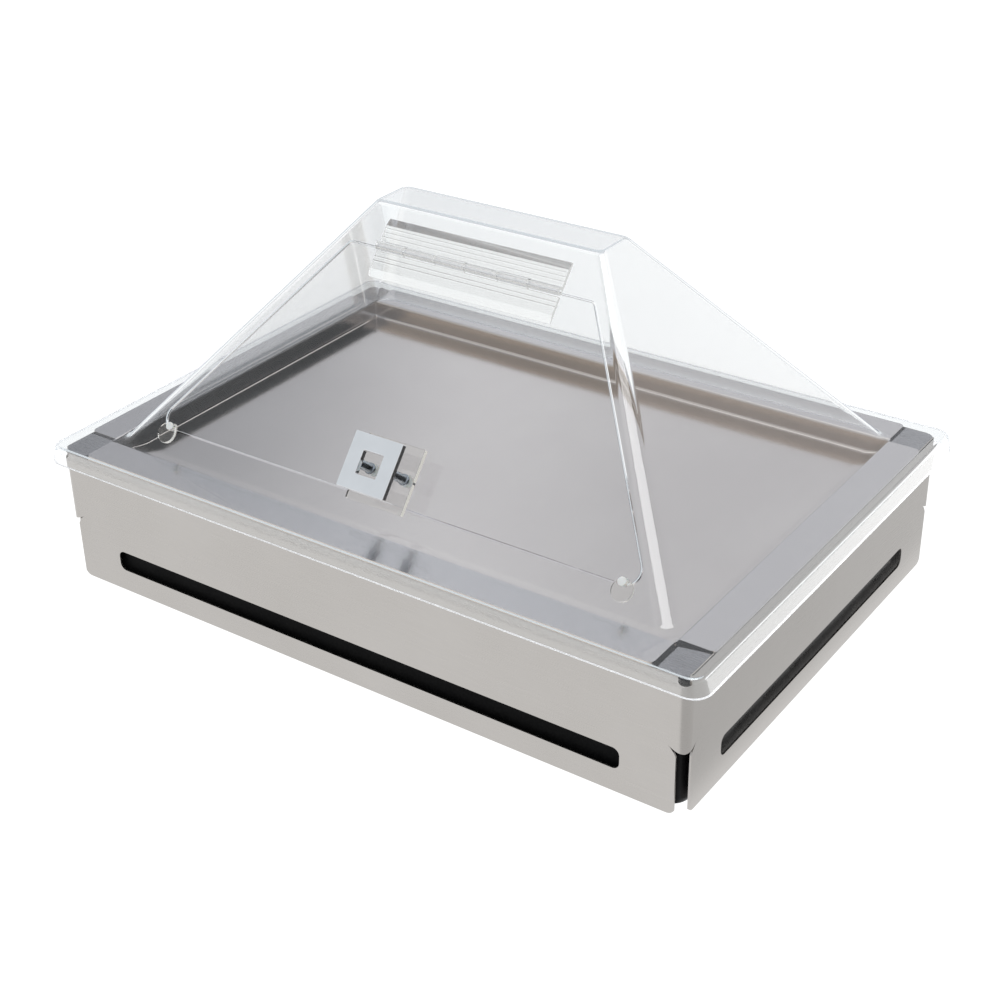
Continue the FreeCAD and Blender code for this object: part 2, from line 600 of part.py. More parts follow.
def door_prism(grow):
    """prism through the front face on the door's outline, grown by grow"""
    low, high = DOOR_LOW - grow, DOOR_HIGH + grow
    taper = (DOOR_LOW_X - DOOR_HIGH_X) / (DOOR_HIGH - DOOR_LOW)
    side = grow * sqrt(1 + taper * taper)
    low_x = DOOR_LOW_X + side + grow * taper
    high_x = DOOR_HIGH_X + side - grow * taper
    solid = prism([Vector(-low_x, low, 0), Vector(low_x, low, 0),
                   Vector(high_x, high, 0), Vector(-high_x, high, 0)],
                  Vector(0, 0, 2 * DOOR_REACH))
    solid.translate(Vector(0, 0, -DOOR_REACH))
    for s, radius in ((low, DOOR_LOW_R + grow), (high, DOOR_HIGH_R + grow)):
        corners = [edge for edge in solid.Edges
                   if abs(edge.BoundBox.YMin - s) < 0.01
                   and abs(edge.BoundBox.YMax - s) < 0.01
                   and edge.BoundBox.ZLength > 1]
        solid = solid.makeFillet(radius, corners)
    return tilt(solid)


def make_door(closed_cover):
    door = main_solid(closed_cover.common(door_prism(-DOOR_KERF)))
    for side in SIDES:
        door = door.cut(tilt(flat_cylinder(HANDLE_X + side * POST_X, HANDLE_S,
                                           SCREW_HOLE_R, -20, 20)))
        door = door.cut(tilt(flat_cylinder(side * RIVET_X, RIVET_S, RIVET_R, -20, 20)))
    return main_solid(door)


whole_cover = make_closed_cover()
save("cover_shell", main_solid(whole_cover.cut(door_prism(0.0))))
save("door_panel", make_door(whole_cover))


# ---------------------------------------------------------------- piano hinge
AXIS_S, AXIS_OFF = 214.6, 3.6
KNUCKLE_R = 3.5
KNUCKLES = [-86.0, -59.3, -29.2, -0.6, 30.2, 58.4, 87.2]    # x of the knuckles' ends
KNUCKLE_GAP = 0.3               # taken off each end that meets another knuckle
HINGE_X0, HINGE_X1 = KNUCKLES[0], KNUCKLES[-1]
PIN_R, PIN_CLEAR, PIN_SHORT = 1.5, 0.05, 1.0    # PIN_SHORT is per end
LEAF_T, LEAF_EDGE, LEAF_BEVEL = 2.8, 0.7, 6.3
LEAF_UP, LEAF_DOWN = 238.6, 188.9               # s of the leaves' outer edges
NOTCH = 4.3                     # clearance in a leaf for the other leaf's knuckle
RIDGES = (8.2, 12.6)            # distances of the raised ridge lines from the axis
RIDGE_HALF_W, RIDGE_SINK, RIDGE_RISE = 0.5, 0.5, 0.35


def make_leaf(upper):
    """one leaf: plate with a bevelled outer edge, ridge lines and every other knuckle"""
    away = 1 if upper else -1   # direction in s from the axis to the outer edge
    end = LEAF_UP if upper else LEAF_DOWN
    section = [(AXIS_S, 0.0), (end, 0.0), (end, LEAF_EDGE),
               (end - away * LEAF_BEVEL, LEAF_T), (AXIS_S, LEAF_T)]
    leaf = prism([Vector(HINGE_X0, s, off) for s, off in section],
                 Vector(HINGE_X1 - HINGE_X0, 0, 0))
    for distance in RIDGES:
        s = AXIS_S + away * distance
        leaf = leaf.fuse(flat_box(HINGE_X0, HINGE_X1, s - RIDGE_HALF_W, s + RIDGE_HALF_W,
                                  LEAF_T - RIDGE_SINK, LEAF_T + RIDGE_RISE))
    last = len(KNUCKLES) - 2
    for i, (x0, x1) in enumerate(zip(KNUCKLES, KNUCKLES[1:])):
        if i % 2 != (1 if upper else 0):
            # clearance notch for the other leaf's knuckle
            s0, s1 = sorted((AXIS_S - away, AXIS_S + away * NOTCH))
            start = x0 - (5 if i == 0 else 0)
            stop = x1 + (5 if i == last else 0)
            leaf = leaf.cut(flat_box(start, stop, s0, s1, -1, 8))
            continue
        start = x0 + (0 if i == 0 else KNUCKLE_GAP)
        stop = x1 - (0 if i == last else KNUCKLE_GAP)
        for gap0, gap1 in ((x0, start), (stop, x1)):
            if gap1 > gap0:
                leaf = leaf.cut(flat_box(gap0, gap1, AXIS_S - 5, AXIS_S + 5, -1, 8))
        knuckle = Part.makeCylinder(KNUCKLE_R, stop - start,
                                    Vector(start, AXIS_S, AXIS_OFF), X_AXIS)
        # the web joins the knuckle to the plate
        s0, s1 = sorted((AXIS_S, AXIS_S + away * (NOTCH + 1)))
        web = flat_box(start, stop, s0, s1, AXIS_OFF - KNUCKLE_R + 0.1, LEAF_T)
        leaf = leaf.fuse(knuckle).fuse(web)
    # the pin fits tightly in the upper leaf and turns in the lower one
    bore = PIN_R if upper else PIN_R + PIN_CLEAR
    leaf = leaf.cut(Part.makeCylinder(bore, HINGE_X1 - HINGE_X0 + 20,
                                      Vector(HINGE_X0 - 10, AXIS_S, AXIS_OFF), X_AXIS))
    return tilt(main_solid(leaf.removeSplitter()))


def make_hinge_pin():
    return tilt(Part.makeCylinder(PIN_R, HINGE_X1 - HINGE_X0 - 2 * PIN_SHORT,
                                  Vector(HINGE_X0 + PIN_SHORT, AXIS_S, AXIS_OFF), X_AXIS))


save("hinge_upper_leaf", make_leaf(True))
save("hinge_lower_leaf", make_leaf(False))
save("hinge_pin", make_hinge_pin())


# ---------------------------------------------------------------- handle
BASE_X, BASE_S = -1.2, 43.1     # centre of the square base
BASE_W, BASE_T, BASE_R, BASE_EDGE_R = 54.0, 4.5, 1.5, 0.4
RING_X, RING_S = HANDLE_X, 43.8     # centre of the square ring
RING_W, RING_HOLE, RING_T = 44.6, 19.0, 5.0
RING_R, RING_EDGE_R = 0.8, 0.5
RING_OFF = 32.0                 # outer face of the ring above the door
POST_R, POST_EDGE_R = 4.0, 0.8
SCREW_BITE, SCREW_HOLE_SPARE = 9.0, 1.5     # thread in the post, and hole beyond it
HEAD_R, HEAD_T, HEAD_EDGE_R = 3.8, 2.4, 1.3
CROSS_L, CROSS_W, CROSS_DEPTH = 4.4, 0.9, 1.4   # cross recess in the screw's head
WASHER_R, WASHER_T, WASHER_GAP = 5.0, 1.0, 0.1
HEAD_OFF = -COVER_T - WASHER_T  # the head bears on the washer here


def make_handle_base():
    base = rounded_block(BASE_W / 2, BASE_W / 2, BASE_R, 0.0, BASE_T, BASE_X, BASE_S)
    base = base.makeFillet(BASE_EDGE_R, level_edges(base))
    for side in SIDES:
        base = base.cut(flat_cylinder(HANDLE_X + side * POST_X, HANDLE_S,
                                      SCREW_HOLE_R, -5, 10))
    return tilt(main_solid(base))


def make_handle_ring():
    ring = rounded_block(RING_W / 2, RING_W / 2, RING_R, RING_OFF - RING_T, RING_OFF,
                         RING_X, RING_S)
    ring = main_solid(ring.cut(rounded_block(
        RING_HOLE / 2, RING_HOLE / 2, RING_R, RING_OFF - 10, RING_OFF + 5,
        RING_X, RING_S)))
    ring = ring.makeFillet(RING_EDGE_R, level_edges(ring))
    return tilt(main_solid(ring))


def make_post(x):
    post = flat_cylinder(x, HANDLE_S, POST_R, BASE_T, RING_OFF - RING_T)
    post = post.makeFillet(POST_EDGE_R, low_edges(post, BASE_T))
    post = post.cut(flat_cylinder(x, HANDLE_S, SCREW_R, BASE_T - 2,
                                  BASE_T + SCREW_BITE + SCREW_HOLE_SPARE))
    return tilt(main_solid(post))


def make_screw(x):
    head_end = HEAD_OFF - HEAD_T
    head = flat_cylinder(x, HANDLE_S, HEAD_R, head_end, HEAD_OFF)
    head = head.makeFillet(HEAD_EDGE_R, low_edges(head, head_end))
    for angle in (45, 135):
        bar = Part.makeBox(CROSS_L, CROSS_W, CROSS_DEPTH,
                           Vector(x - CROSS_L / 2, HANDLE_S - CROSS_W / 2, head_end - 0.01))
        bar.rotate(Vector(x, HANDLE_S, 0), Z_AXIS, angle)
        head = head.cut(bar)
    shank = flat_cylinder(x, HANDLE_S, SCREW_R, HEAD_OFF - 0.5, BASE_T + SCREW_BITE)
    return tilt(main_solid(head.fuse(shank)))


def make_washer(x):
    washer = flat_cylinder(x, HANDLE_S, WASHER_R, HEAD_OFF, -COVER_T)
    hole = flat_cylinder(x, HANDLE_S, SCREW_R + WASHER_GAP, -20, 20)
    return tilt(main_solid(washer.cut(hole)))


post_places = [HANDLE_X + side * POST_X for side in SIDES]
save("handle_base", make_handle_base())
save("handle_plate", make_handle_ring())
save("handle_post_left", make_post(post_places[0]))
save("handle_post_right", make_post(post_places[1]))
save("handle_screws", *[make_screw(x) for x in post_places])
save("handle_washers", *[make_washer(x) for x in post_places])


# ---------------------------------------------------------------- stops
STOP_X, STOP_S, STOP_R, STOP_T = 219.7, 18.2, 8.65, 3.0
STOP_GAP, STOP_EDGE_R = 0.15, 0.6       # STOP_GAP is above the door's face
STOP_OFF = STOP_GAP + STOP_T            # outer face of the discs
RIVET_HEAD_R, RIVET_HEAD_T = 3.3, 0.9
RIVET_GAP = 0.05                        # between the inner head and the door


def make_stop(side):
    disc = flat_cylinder(side * STOP_X, STOP_S, STOP_R, STOP_GAP, STOP_OFF)
    outer_edges = [edge for edge in disc.Edges if edge.BoundBox.ZMin > STOP_OFF - 0.01]
    disc = disc.makeFillet(STOP_EDGE_R, outer_edges)
    disc = disc.cut(flat_cylinder(side * RIVET_X, RIVET_S, RIVET_R, -20, 20))
    return tilt(main_solid(disc))


def make_rivet(side):
    x = side * RIVET_X
    inner_off = -COVER_T - RIVET_GAP
    outer_head = flat_cylinder(x, RIVET_S, RIVET_HEAD_R, STOP_OFF, STOP_OFF + RIVET_HEAD_T)
    shank = flat_cylinder(x, RIVET_S, RIVET_R, -COVER_T - 0.1, STOP_OFF + 0.2)
    inner_head = flat_cylinder(x, RIVET_S, RIVET_HEAD_R, inner_off - RIVET_HEAD_T, inner_off)
    return tilt(main_solid(outer_head.fuse(shank).fuse(inner_head)))


save("stop_disc_left", make_stop(-1))
save("stop_disc_right", make_stop(1))
save("stop_rivets", *[make_rivet(side) for side in SIDES])
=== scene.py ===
# A cooled food display: a steel pan in a black tub and a steel sleeve, under a clear pyramid
# cover. The cover's front face holds a door, with a piano hinge along its upper edge and a
# handle near its lower edge.
# The front faces -Y, the right side is +X, up is +Z, and the floor lies at z = 0.
# Scenes, materials and lights are in metres; the built pieces are in millimetres, times MM.
import json
import math
import bpy
import bmesh
from mathutils import Vector, Matrix
from mathutils.geometry import delaunay_2d_cdt


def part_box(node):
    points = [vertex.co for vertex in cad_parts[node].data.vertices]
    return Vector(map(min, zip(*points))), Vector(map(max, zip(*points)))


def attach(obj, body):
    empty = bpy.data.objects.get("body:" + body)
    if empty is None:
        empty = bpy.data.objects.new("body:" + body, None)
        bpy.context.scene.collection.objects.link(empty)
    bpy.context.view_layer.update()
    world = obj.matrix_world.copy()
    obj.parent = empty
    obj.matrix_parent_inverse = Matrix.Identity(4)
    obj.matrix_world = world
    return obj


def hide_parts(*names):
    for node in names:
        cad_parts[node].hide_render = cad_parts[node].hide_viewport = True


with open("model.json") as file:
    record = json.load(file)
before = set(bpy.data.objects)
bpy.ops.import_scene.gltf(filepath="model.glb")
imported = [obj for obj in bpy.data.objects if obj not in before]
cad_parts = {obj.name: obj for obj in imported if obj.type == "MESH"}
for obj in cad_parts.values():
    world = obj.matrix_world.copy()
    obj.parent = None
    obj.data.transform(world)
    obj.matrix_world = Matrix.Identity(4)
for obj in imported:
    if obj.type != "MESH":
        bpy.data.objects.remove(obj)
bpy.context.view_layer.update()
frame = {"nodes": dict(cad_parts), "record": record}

NODES = frame["nodes"]
SCENE = bpy.context.scene
MM = 0.001
PAN_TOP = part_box("food_pan")[1].z        # top of the pan's flanges, in metres


# ------------------------------------------------------------------ node helpers
class Nodes:
    """The node tree of a material or world. Most methods add a node and return its output.

    An input may be a socket, which is linked, or a plain value. Colours are (r, g, b).
    """

    def __init__(self, owner, output="OutputMaterial", coordinates="Object"):
        self.owner = owner
        owner.use_nodes = True
        self.tree = owner.node_tree
        self.tree.nodes.clear()
        self.output = self.tree.nodes.new("ShaderNode" + output)
        self.place = self.node("TexCoord")[coordinates]

    def put(self, socket, value):
        if isinstance(value, bpy.types.NodeSocket):
            self.tree.links.new(value, socket)
        elif socket.type == "RGBA":
            socket.default_value = (*value, 1.0)
        else:
            socket.default_value = value

    def node(self, kind, inputs=(), **settings):
        """adds a node and returns all its outputs"""
        new = self.tree.nodes.new("ShaderNode" + kind)
        for name, value in settings.items():
            setattr(new, name, value)
        for key, value in dict(inputs).items():
            self.put(new.inputs[key], value)
        return new.outputs

    def noise(self, scale, detail=3.0, rough=0.5, at=None):
        return self.node("TexNoise", {"Vector": at or self.place, "Scale": scale,
                                      "Detail": detail, "Roughness": rough})["Fac"]

    def grain(self, stretch, detail=3.0, rough=0.5, turn=(0, 0, 0)):
        """noise with its own scale along each axis; a high scale gives narrow features"""
        at = self.node("Mapping", {"Vector": self.place, "Scale": stretch, "Rotation": turn})[0]
        return self.noise(scale=1.0, detail=detail, rough=rough, at=at)

    def voronoi(self, scale, feature="F1"):
        return self.node("TexVoronoi", {"Vector": self.place, "Scale": scale},
                         feature=feature)["Distance"]

    def stripes(self, scale):
        """straight bands one after another along X"""
        return self.node("TexWave", {"Vector": self.place, "Scale": scale, "Distortion": 0.0,
                                     "Detail": 0.0}, bands_direction="X")["Fac"]

    def remap(self, value, span=(0.3, 0.7), to=(0.0, 1.0), smooth=False):
        """carries the span of values over to another; noise lies mostly in 0.3 to 0.7"""
        return self.node("MapRange", {"Value": value, "From Min": span[0], "From Max": span[1],
                                      "To Min": to[0], "To Max": to[1]},
                         interpolation_type="SMOOTHSTEP" if smooth else "LINEAR")[0]

    def math(self, operation, first, second=0.0):
        return self.node("Math", {0: first, 1: second}, operation=operation)[0]

    def mix(self, factor, first, second, kind="MIX"):
        return self.node("Mix", {0: factor, 6: first, 7: second},
                         data_type="RGBA", blend_type=kind)[2]

    def bump(self, height, strength, distance, normal=None):
        inputs = {"Strength": strength, "Distance": distance, "Height": height}
        if normal is not None:
            inputs["Normal"] = normal
        return self.node("Bump", inputs)[0]

    def split(self, vector):
        return self.node("SeparateXYZ", {0: vector})

    def normal_parts(self):
        return self.split(self.node("NewGeometry")["Normal"])

    def shader(self, kind, **inputs):
        """a shader node; underscores in the input names stand for spaces"""
        return self.node(kind, {key.replace("_", " "): v for key, v in inputs.items()})[0]

    def mix_shader(self, factor, first, second):
        return self.node("MixShader", {0: factor, 1: first, 2: second})[0]

    def finish(self, shader):
        self.put(self.output.inputs["Surface"], shader)
        return self.owner

    def principled(self, **inputs):
        return self.finish(self.shader("BsdfPrincipled", **inputs))


def material(name):
    return Nodes(bpy.data.materials.new(name))


def scaled(colour, factor):
    return tuple(part * factor for part in colour)


# ------------------------------------------------------------------ materials
def sleeve_steel():
    """soft clouds, fine specks and a very fine level grain round the walls"""
    mat = material("satin_sleeve_steel")
    cloud = mat.noise(scale=9.0, detail=4, rough=0.55)
    grain = mat.grain(stretch=(40, 40, 2600), detail=4, rough=0.7)
    speck = mat.voronoi(scale=700.0)
    base = mat.mix(mat.remap(cloud), (0.500, 0.480, 0.458), (0.535, 0.515, 0.494))
    lines = mat.remap(grain, span=(0.35, 0.65), to=(0.0, 0.14))
    base = mat.mix(lines, base, (0.42, 0.405, 0.39))
    specks = mat.remap(speck, span=(0.0, 0.06), to=(0.25, 0.0))
    base = mat.mix(specks, base, (0.34, 0.33, 0.32))
    rough = mat.math("ADD", mat.remap(grain, to=(0.25, 0.33)), mat.remap(cloud, to=(-0.02, 0.03)))
    fine = mat.bump(grain, strength=0.05, distance=0.0002)
    normal = mat.bump(mat.noise(scale=3.2, detail=2), strength=0.05, distance=0.004, normal=fine)
    return mat.principled(Base_Color=base, Metallic=1.0, Roughness=rough, Normal=normal)


def ledge_steel():
    """dark smooth steel with fine slanting scratches"""
    mat = material("smooth_plate_steel")
    cloud = mat.noise(scale=40.0, detail=4)
    base = mat.mix(mat.remap(cloud), (0.27, 0.275, 0.292), (0.32, 0.325, 0.342))
    scratch = mat.grain(stretch=(60, 3200, 60), turn=(0, 0, 0.35), rough=0.7)
    return mat.principled(Base_Color=base, Metallic=1.0,
                          Roughness=mat.remap(scratch, span=(0.35, 0.7), to=(0.20, 0.34)),
                          Normal=mat.bump(scratch, strength=0.04, distance=0.0002))


STRIPE_SCALE = 1000 / 3          # sets the flange stripes 0.94 mm apart


def pan_steel():
    """brushed front to back: long lines along Y, narrow across X"""
    mat = material("brushed_pan_steel")
    fine = mat.grain(stretch=(2600, 22, 900), detail=5, rough=0.72)
    lines = mat.grain(stretch=(640, 6, 300), rough=0.6)
    cloud = mat.noise(scale=7.0, detail=4, rough=0.55)
    base = mat.mix(mat.remap(cloud), (0.600, 0.580, 0.575), (0.640, 0.622, 0.615))
    base = mat.mix(mat.remap(lines, to=(0.0, 0.12)), base, (0.50, 0.48, 0.48))
    bright_lines = mat.remap(fine, span=(0.35, 0.65), to=(0.0, 0.05))
    base = mat.mix(bright_lines, base, (0.72, 0.70, 0.70))
    # the flanges carry coarser stripes and a cooler tone
    z = mat.split(mat.place)["Z"]
    flange = mat.remap(z, span=(PAN_TOP - 0.0012, PAN_TOP - 0.0006))
    stripe = mat.remap(mat.stripes(STRIPE_SCALE), span=(0.0, 1.0), to=(0.0, 0.22))
    base = mat.mix(mat.math("MULTIPLY", flange, stripe), base, (0.36, 0.35, 0.38))
    base = mat.mix(mat.math("MULTIPLY", flange, 0.55), base, (0.585, 0.585, 0.605))
    # painted reflection: the walls that face along Y are given a darker, warmer tone, with a
    # painted highlight brightening them towards their upper bend
    normal = mat.normal_parts()
    wall = mat.remap(mat.math("ABSOLUTE", normal["Z"]), span=(0.35, 0.05))
    along_y = mat.remap(mat.math("ABSOLUTE", normal["Y"]), span=(0.5, 0.9))
    upper = mat.remap(z, span=(PAN_TOP - 0.0100, PAN_TOP - 0.0015), to=(0.0, 0.72), smooth=True)
    # painted highlight along the walls' upper bend
    bend = mat.math("MULTIPLY", mat.math("MULTIPLY", wall, along_y), upper)
    base = mat.mix(bend, base, (0.98, 0.93, 0.87))
    # painted reflection: a darker, warmer tone on the walls that face along Y
    base = mat.mix(mat.math("MULTIPLY", wall, along_y), base, (0.76, 0.70, 0.645), "MULTIPLY")
    # painted light: seen with no sheet in between, the pan's colour is brightened to the tone it
    # has through one
    direct = mat.node("LightPath")["Is Camera Ray"]
    base = mat.mix(direct, base, (1.34, 1.33, 1.33), "MULTIPLY")
    rough = mat.math("ADD", mat.remap(fine, to=(0.145, 0.175)),
                     mat.remap(cloud, to=(-0.015, 0.015)))
    rough = mat.math("ADD", rough, mat.math("MULTIPLY", flange, 0.07))
    return mat.principled(Base_Color=base, Metallic=1.0, Roughness=rough,
                          Normal=mat.bump(mat.noise(scale=2.4, detail=1),
                                          strength=0.012, distance=0.004),
                          Anisotropic=0.35, Tangent=mat.node("CombineXYZ", {"Y": 1.0})[0])


def tub_plastic():
    """black grained plastic; the left and right walls are glossier"""
    mat = material("black_moulded_tub")
    fine = mat.noise(scale=500.0)
    base = mat.mix(mat.remap(fine), (0.002, 0.002, 0.0022), (0.005, 0.005, 0.0052))
    side = mat.math("ABSOLUTE", mat.normal_parts()["X"])
    rough = mat.math("SUBTRACT", mat.remap(mat.noise(scale=30.0), to=(0.42, 0.58)),
                     mat.remap(side, span=(0.6, 1.0), to=(0.0, 0.22)))
    return mat.principled(Base_Color=base, Roughness=rough,
                          Specular_IOR_Level=mat.remap(side, span=(0.6, 1.0), to=(0.04, 0.45)),
                          Normal=mat.bump(mat.voronoi(scale=900.0, feature="SMOOTH_F1"),
                                          strength=0.12, distance=0.0001))


def foot_rubber():
    mat = material("foot_rubber")
    fine = mat.noise(scale=900.0, detail=4)
    return mat.principled(Base_Color=mat.mix(fine, (0.012, 0.012, 0.012), (0.032, 0.031, 0.030)),
                          Roughness=0.82, Normal=mat.bump(fine, strength=0.4, distance=0.0003))


def bead_foam():
    """pale beads with darker seams between them"""
    mat = material("bead_foam")
    cell = mat.voronoi(scale=260.0)
    seam = mat.voronoi(scale=260.0, feature="DISTANCE_TO_EDGE")
    base = mat.mix(mat.remap(seam, span=(0.0, 0.12)), (0.60, 0.61, 0.60), (0.86, 0.865, 0.855))
    patches = mat.remap(mat.noise(scale=14.0), span=(0.35, 0.65), to=(0, 0.35))
    base = mat.mix(patches, base, (0.78, 0.78, 0.765))
    return mat.principled(Base_Color=base, Roughness=0.78, Subsurface_Weight=0.08,
                          Normal=mat.bump(cell, strength=0.5, distance=-0.0006))


def plate_plastic():
    """blue plastic with patches of frost"""
    mat = material("blue_cooling_plate")
    fine = mat.noise(scale=420.0, detail=4)
    cloud = mat.noise(scale=12.0)
    base = mat.mix(mat.remap(cloud), (0.022, 0.10, 0.30), (0.030, 0.14, 0.38))
    patches = mat.noise(scale=5.0, detail=5, rough=0.6)
    frost = mat.math("MULTIPLY", mat.remap(patches, span=(0.48, 0.70), to=(0, 0.45)),
                     mat.remap(fine, span=(0.4, 0.6), to=(0.6, 1.0)))
    base = mat.mix(frost, base, (0.62, 0.72, 0.80))
    return mat.principled(Base_Color=base, Roughness=mat.remap(fine, to=(0.36, 0.55)),
                          Normal=mat.bump(fine, strength=0.2, distance=0.0003))


def frozen_filling():
    """pale blue clouds crossed by whiter cracks"""
    mat = material("frozen_filling")
    crack = mat.voronoi(scale=45.0, feature="DISTANCE_TO_EDGE")
    cloud = mat.noise(scale=18.0, detail=6, rough=0.65)
    base = mat.mix(mat.remap(cloud), (0.30, 0.55, 0.72), (0.62, 0.80, 0.90))
    cracks = mat.remap(crack, span=(0.0, 0.03), to=(0.6, 0.0))
    base = mat.mix(cracks, base, (0.90, 0.95, 0.97))
    return mat.principled(Base_Color=base, Roughness=mat.remap(cloud, to=(0.10, 0.30)),
                          Subsurface_Weight=0.2,
                          Normal=mat.bump(cloud, strength=0.2, distance=0.0008))


def polished_metal(name, tint, roughness):
    """metal with fine swirls over the given roughness range, and broad smears"""
    mat = material(name)
    swirl = mat.grain(stretch=(900, 900, 900), detail=4, rough=0.7)
    smear = mat.noise(scale=60.0, detail=5, rough=0.6)
    rough = mat.math("ADD", mat.remap(swirl, to=roughness),
                     mat.remap(smear, span=(0.4, 0.7), to=(0.0, 0.03)))
    return mat.principled(Base_Color=mat.mix(mat.remap(smear), tint, scaled(tint, 0.95)),
                          Metallic=0.90, Roughness=rough,
                          Normal=mat.bump(swirl, strength=0.02, distance=0.0001))


def white_nylon():
    mat = material("white_nylon")
    cloud = mat.remap(mat.noise(scale=200.0))
    return mat.principled(Base_Color=mat.mix(cloud, (0.88, 0.87, 0.82), (0.92, 0.915, 0.88)),
                          Roughness=0.42, Subsurface_Weight=0.15,
                          Normal=mat.bump(mat.noise(scale=700.0), strength=0.15, distance=0.0002))


def clear_plastic(name, tint, wave, wave_scale, edge=None):
    """solid clear plastic: refracts what is seen through it, and lets light pass to
    whatever it covers. The wave is the strength of its unevenness."""
    mat = material(name)
    scratch = mat.grain(stretch=(30, 900, 30), turn=(0.3, 0.2, 0.7), rough=0.7)
    colour = mat.mix(mat.remap(mat.noise(scale=8.0)), tint, scaled(tint, 0.997))
    if edge:
        # seen edge-on the sheet is tinted blue-grey: a little of this is its own tint through the
        # longer path, most is painted shade at its silhouette
        facing = mat.node("LayerWeight", {"Blend": 0.5})["Facing"]
        outward = mat.math("SUBTRACT", 1.0, mat.node("NewGeometry")["Backfacing"])
        silhouette_shade_mask = mat.math("MULTIPLY", mat.remap(facing, span=(0.85, 0.96), smooth=True), outward)
        colour = mat.mix(silhouette_shade_mask, colour, edge)
    ripple = mat.noise(scale=wave_scale, detail=1, rough=0.4)
    glass = mat.shader("BsdfGlass", IOR=1.49, Color=colour,
                       Roughness=mat.remap(scratch, span=(0.55, 0.85), to=(0.0, 0.02)),
                       Normal=mat.bump(ripple, strength=wave, distance=0.01))
    passing = mat.shader("BsdfTransparent", Color=(0.97, 0.975, 0.98))
    # camera and refracted rays, and rays that start inside, meet the glass
    ray = mat.node("LightPath")
    inside = mat.math("MULTIPLY", mat.node("NewGeometry")["Backfacing"],
                      mat.math("LESS_THAN", ray["Transparent Depth"], 0.5))
    seen = mat.math("MAXIMUM", ray["Is Camera Ray"], ray["Is Transmission Ray"])
    seen = mat.math("MAXIMUM", seen, inside)
    seen = mat.math("MULTIPLY", seen, mat.math("SUBTRACT", 1.0, ray["Is Shadow Ray"]))
    body = mat.mix_shader(seen, passing, glass)
    # light caught between the two faces leaves somewhere in the end: it is given an average
    average = mat.shader("Emission", Color=(0.80, 0.81, 0.83), Strength=0.95)
    caught = mat.math("GREATER_THAN", ray["Ray Depth"], 8.5)
    return mat.finish(mat.mix_shader(caught, body, average))


def frosted_pin():
    """half see-through white"""
    mat = material("frosted_hinge_pin")
    fine = mat.noise(scale=300.0)
    colour = mat.mix(mat.remap(fine), (0.80, 0.84, 0.90), (0.90, 0.92, 0.95))
    return mat.finish(mat.mix_shader(mat.remap(fine, to=(0.30, 0.42)),
                                     mat.shader("BsdfTransparent"),
                                     mat.shader("BsdfDiffuse", Color=colour)))


def sawn_edge():
    """the sheet's bare lower edge, faintly glowing with the light it carries"""
    mat = material("sawn_sheet_edge")
    saw = mat.remap(mat.grain(stretch=(500, 500, 4000)))
    mat.owner.cycles.emission_sampling = "NONE"
    return mat.principled(Base_Color=mat.mix(saw, (0.80, 0.81, 0.83), (0.90, 0.90, 0.91)),
                          Roughness=0.45, Emission_Color=(0.9, 0.9, 0.92),
                          Emission_Strength=0.35)


def pale_floor():
    """paper lit from above, with an even glow; where it is mirrored in the object, the glow is
    lowered towards the right: painted shade in the reflections
    """
    mat = material("pale_floor")
    cloud = mat.remap(mat.noise(scale=3.0))
    paper = mat.shader("BsdfDiffuse",
                       Color=mat.mix(cloud, (0.035, 0.035, 0.035), (0.045, 0.045, 0.045)))
    place = mat.split(mat.place)
    right = mat.remap(place["X"], span=(0.300, 0.325), smooth=True)
    # painted shade: the glow that the object mirrors on its right side is lowered, to darken that
    # reflection
    mirrored_shade_on_right = mat.math("MULTIPLY", right, mat.remap(place["Y"], span=(-0.25, 0.45), to=(0.34, 0.18)))
    ray = mat.node("LightPath")
    mirrored = mat.math("MULTIPLY", ray["Is Glossy Ray"],
                        mat.math("SUBTRACT", 1.0, ray["Is Transmission Ray"]))
    # glow: 0.98 where mirrored, 0.14 more everywhere else
    extra = mat.math("MULTIPLY", mat.math("SUBTRACT", 1.0, mirrored), 0.14)
    strength = mat.math("SUBTRACT", mat.math("ADD", 0.98, extra),
                        mat.math("MULTIPLY", mirrored_shade_on_right, mirrored))
    glow = mat.shader("Emission", Color=(1, 1, 1), Strength=strength)
    mat.owner.cycles.emission_sampling = "NONE"
    return mat.finish(mat.node("AddShader", {0: paper, 1: glow})[0])


MATERIALS = {
    "sleeve_steel": sleeve_steel(),
    "ledge_steel": ledge_steel(),
    "pan_steel": pan_steel(),
    "tub_plastic": tub_plastic(),
    "foot_rubber": foot_rubber(),
    "foam": bead_foam(),
    "plate_plastic": plate_plastic(),
    "eutectic": frozen_filling(),
    # the cover's edge colour is mostly painted shade at its silhouette
    "clear_cover": clear_plastic("clear_cover_sheet", tint=(0.985, 0.992, 0.995),
                                 wave=0.012, wave_scale=3.0, edge=(0.30, 0.30, 0.42)),
    "clear_hinge": clear_plastic("clear_hinge_profile", tint=(0.985, 0.985, 0.98),
                                 wave=0.01, wave_scale=20.0),
    "clear_parts": clear_plastic("clear_machined_parts", tint=(0.985, 0.982, 0.972),
                                 wave=0.0, wave_scale=6.0),
    "polished_steel": polished_metal("polished_steel", tint=(0.90, 0.915, 0.93),
                                     roughness=(0.03, 0.07)),
    "nylon": white_nylon(),
}


def set_material(piece, new_material):
    for slot in piece.material_slots:
        slot.material = new_material


def dress_cad_pieces():
    slots = {part["node"]: part["material_slot"] for part in frame["record"]["subparts"]}
    for name, piece in NODES.items():
        if not piece.material_slots:
            piece.data.materials.append(MATERIALS[slots[name]])
        set_material(piece, MATERIALS[slots[name]])
    set_material(NODES["hinge_pin"], frosted_pin())


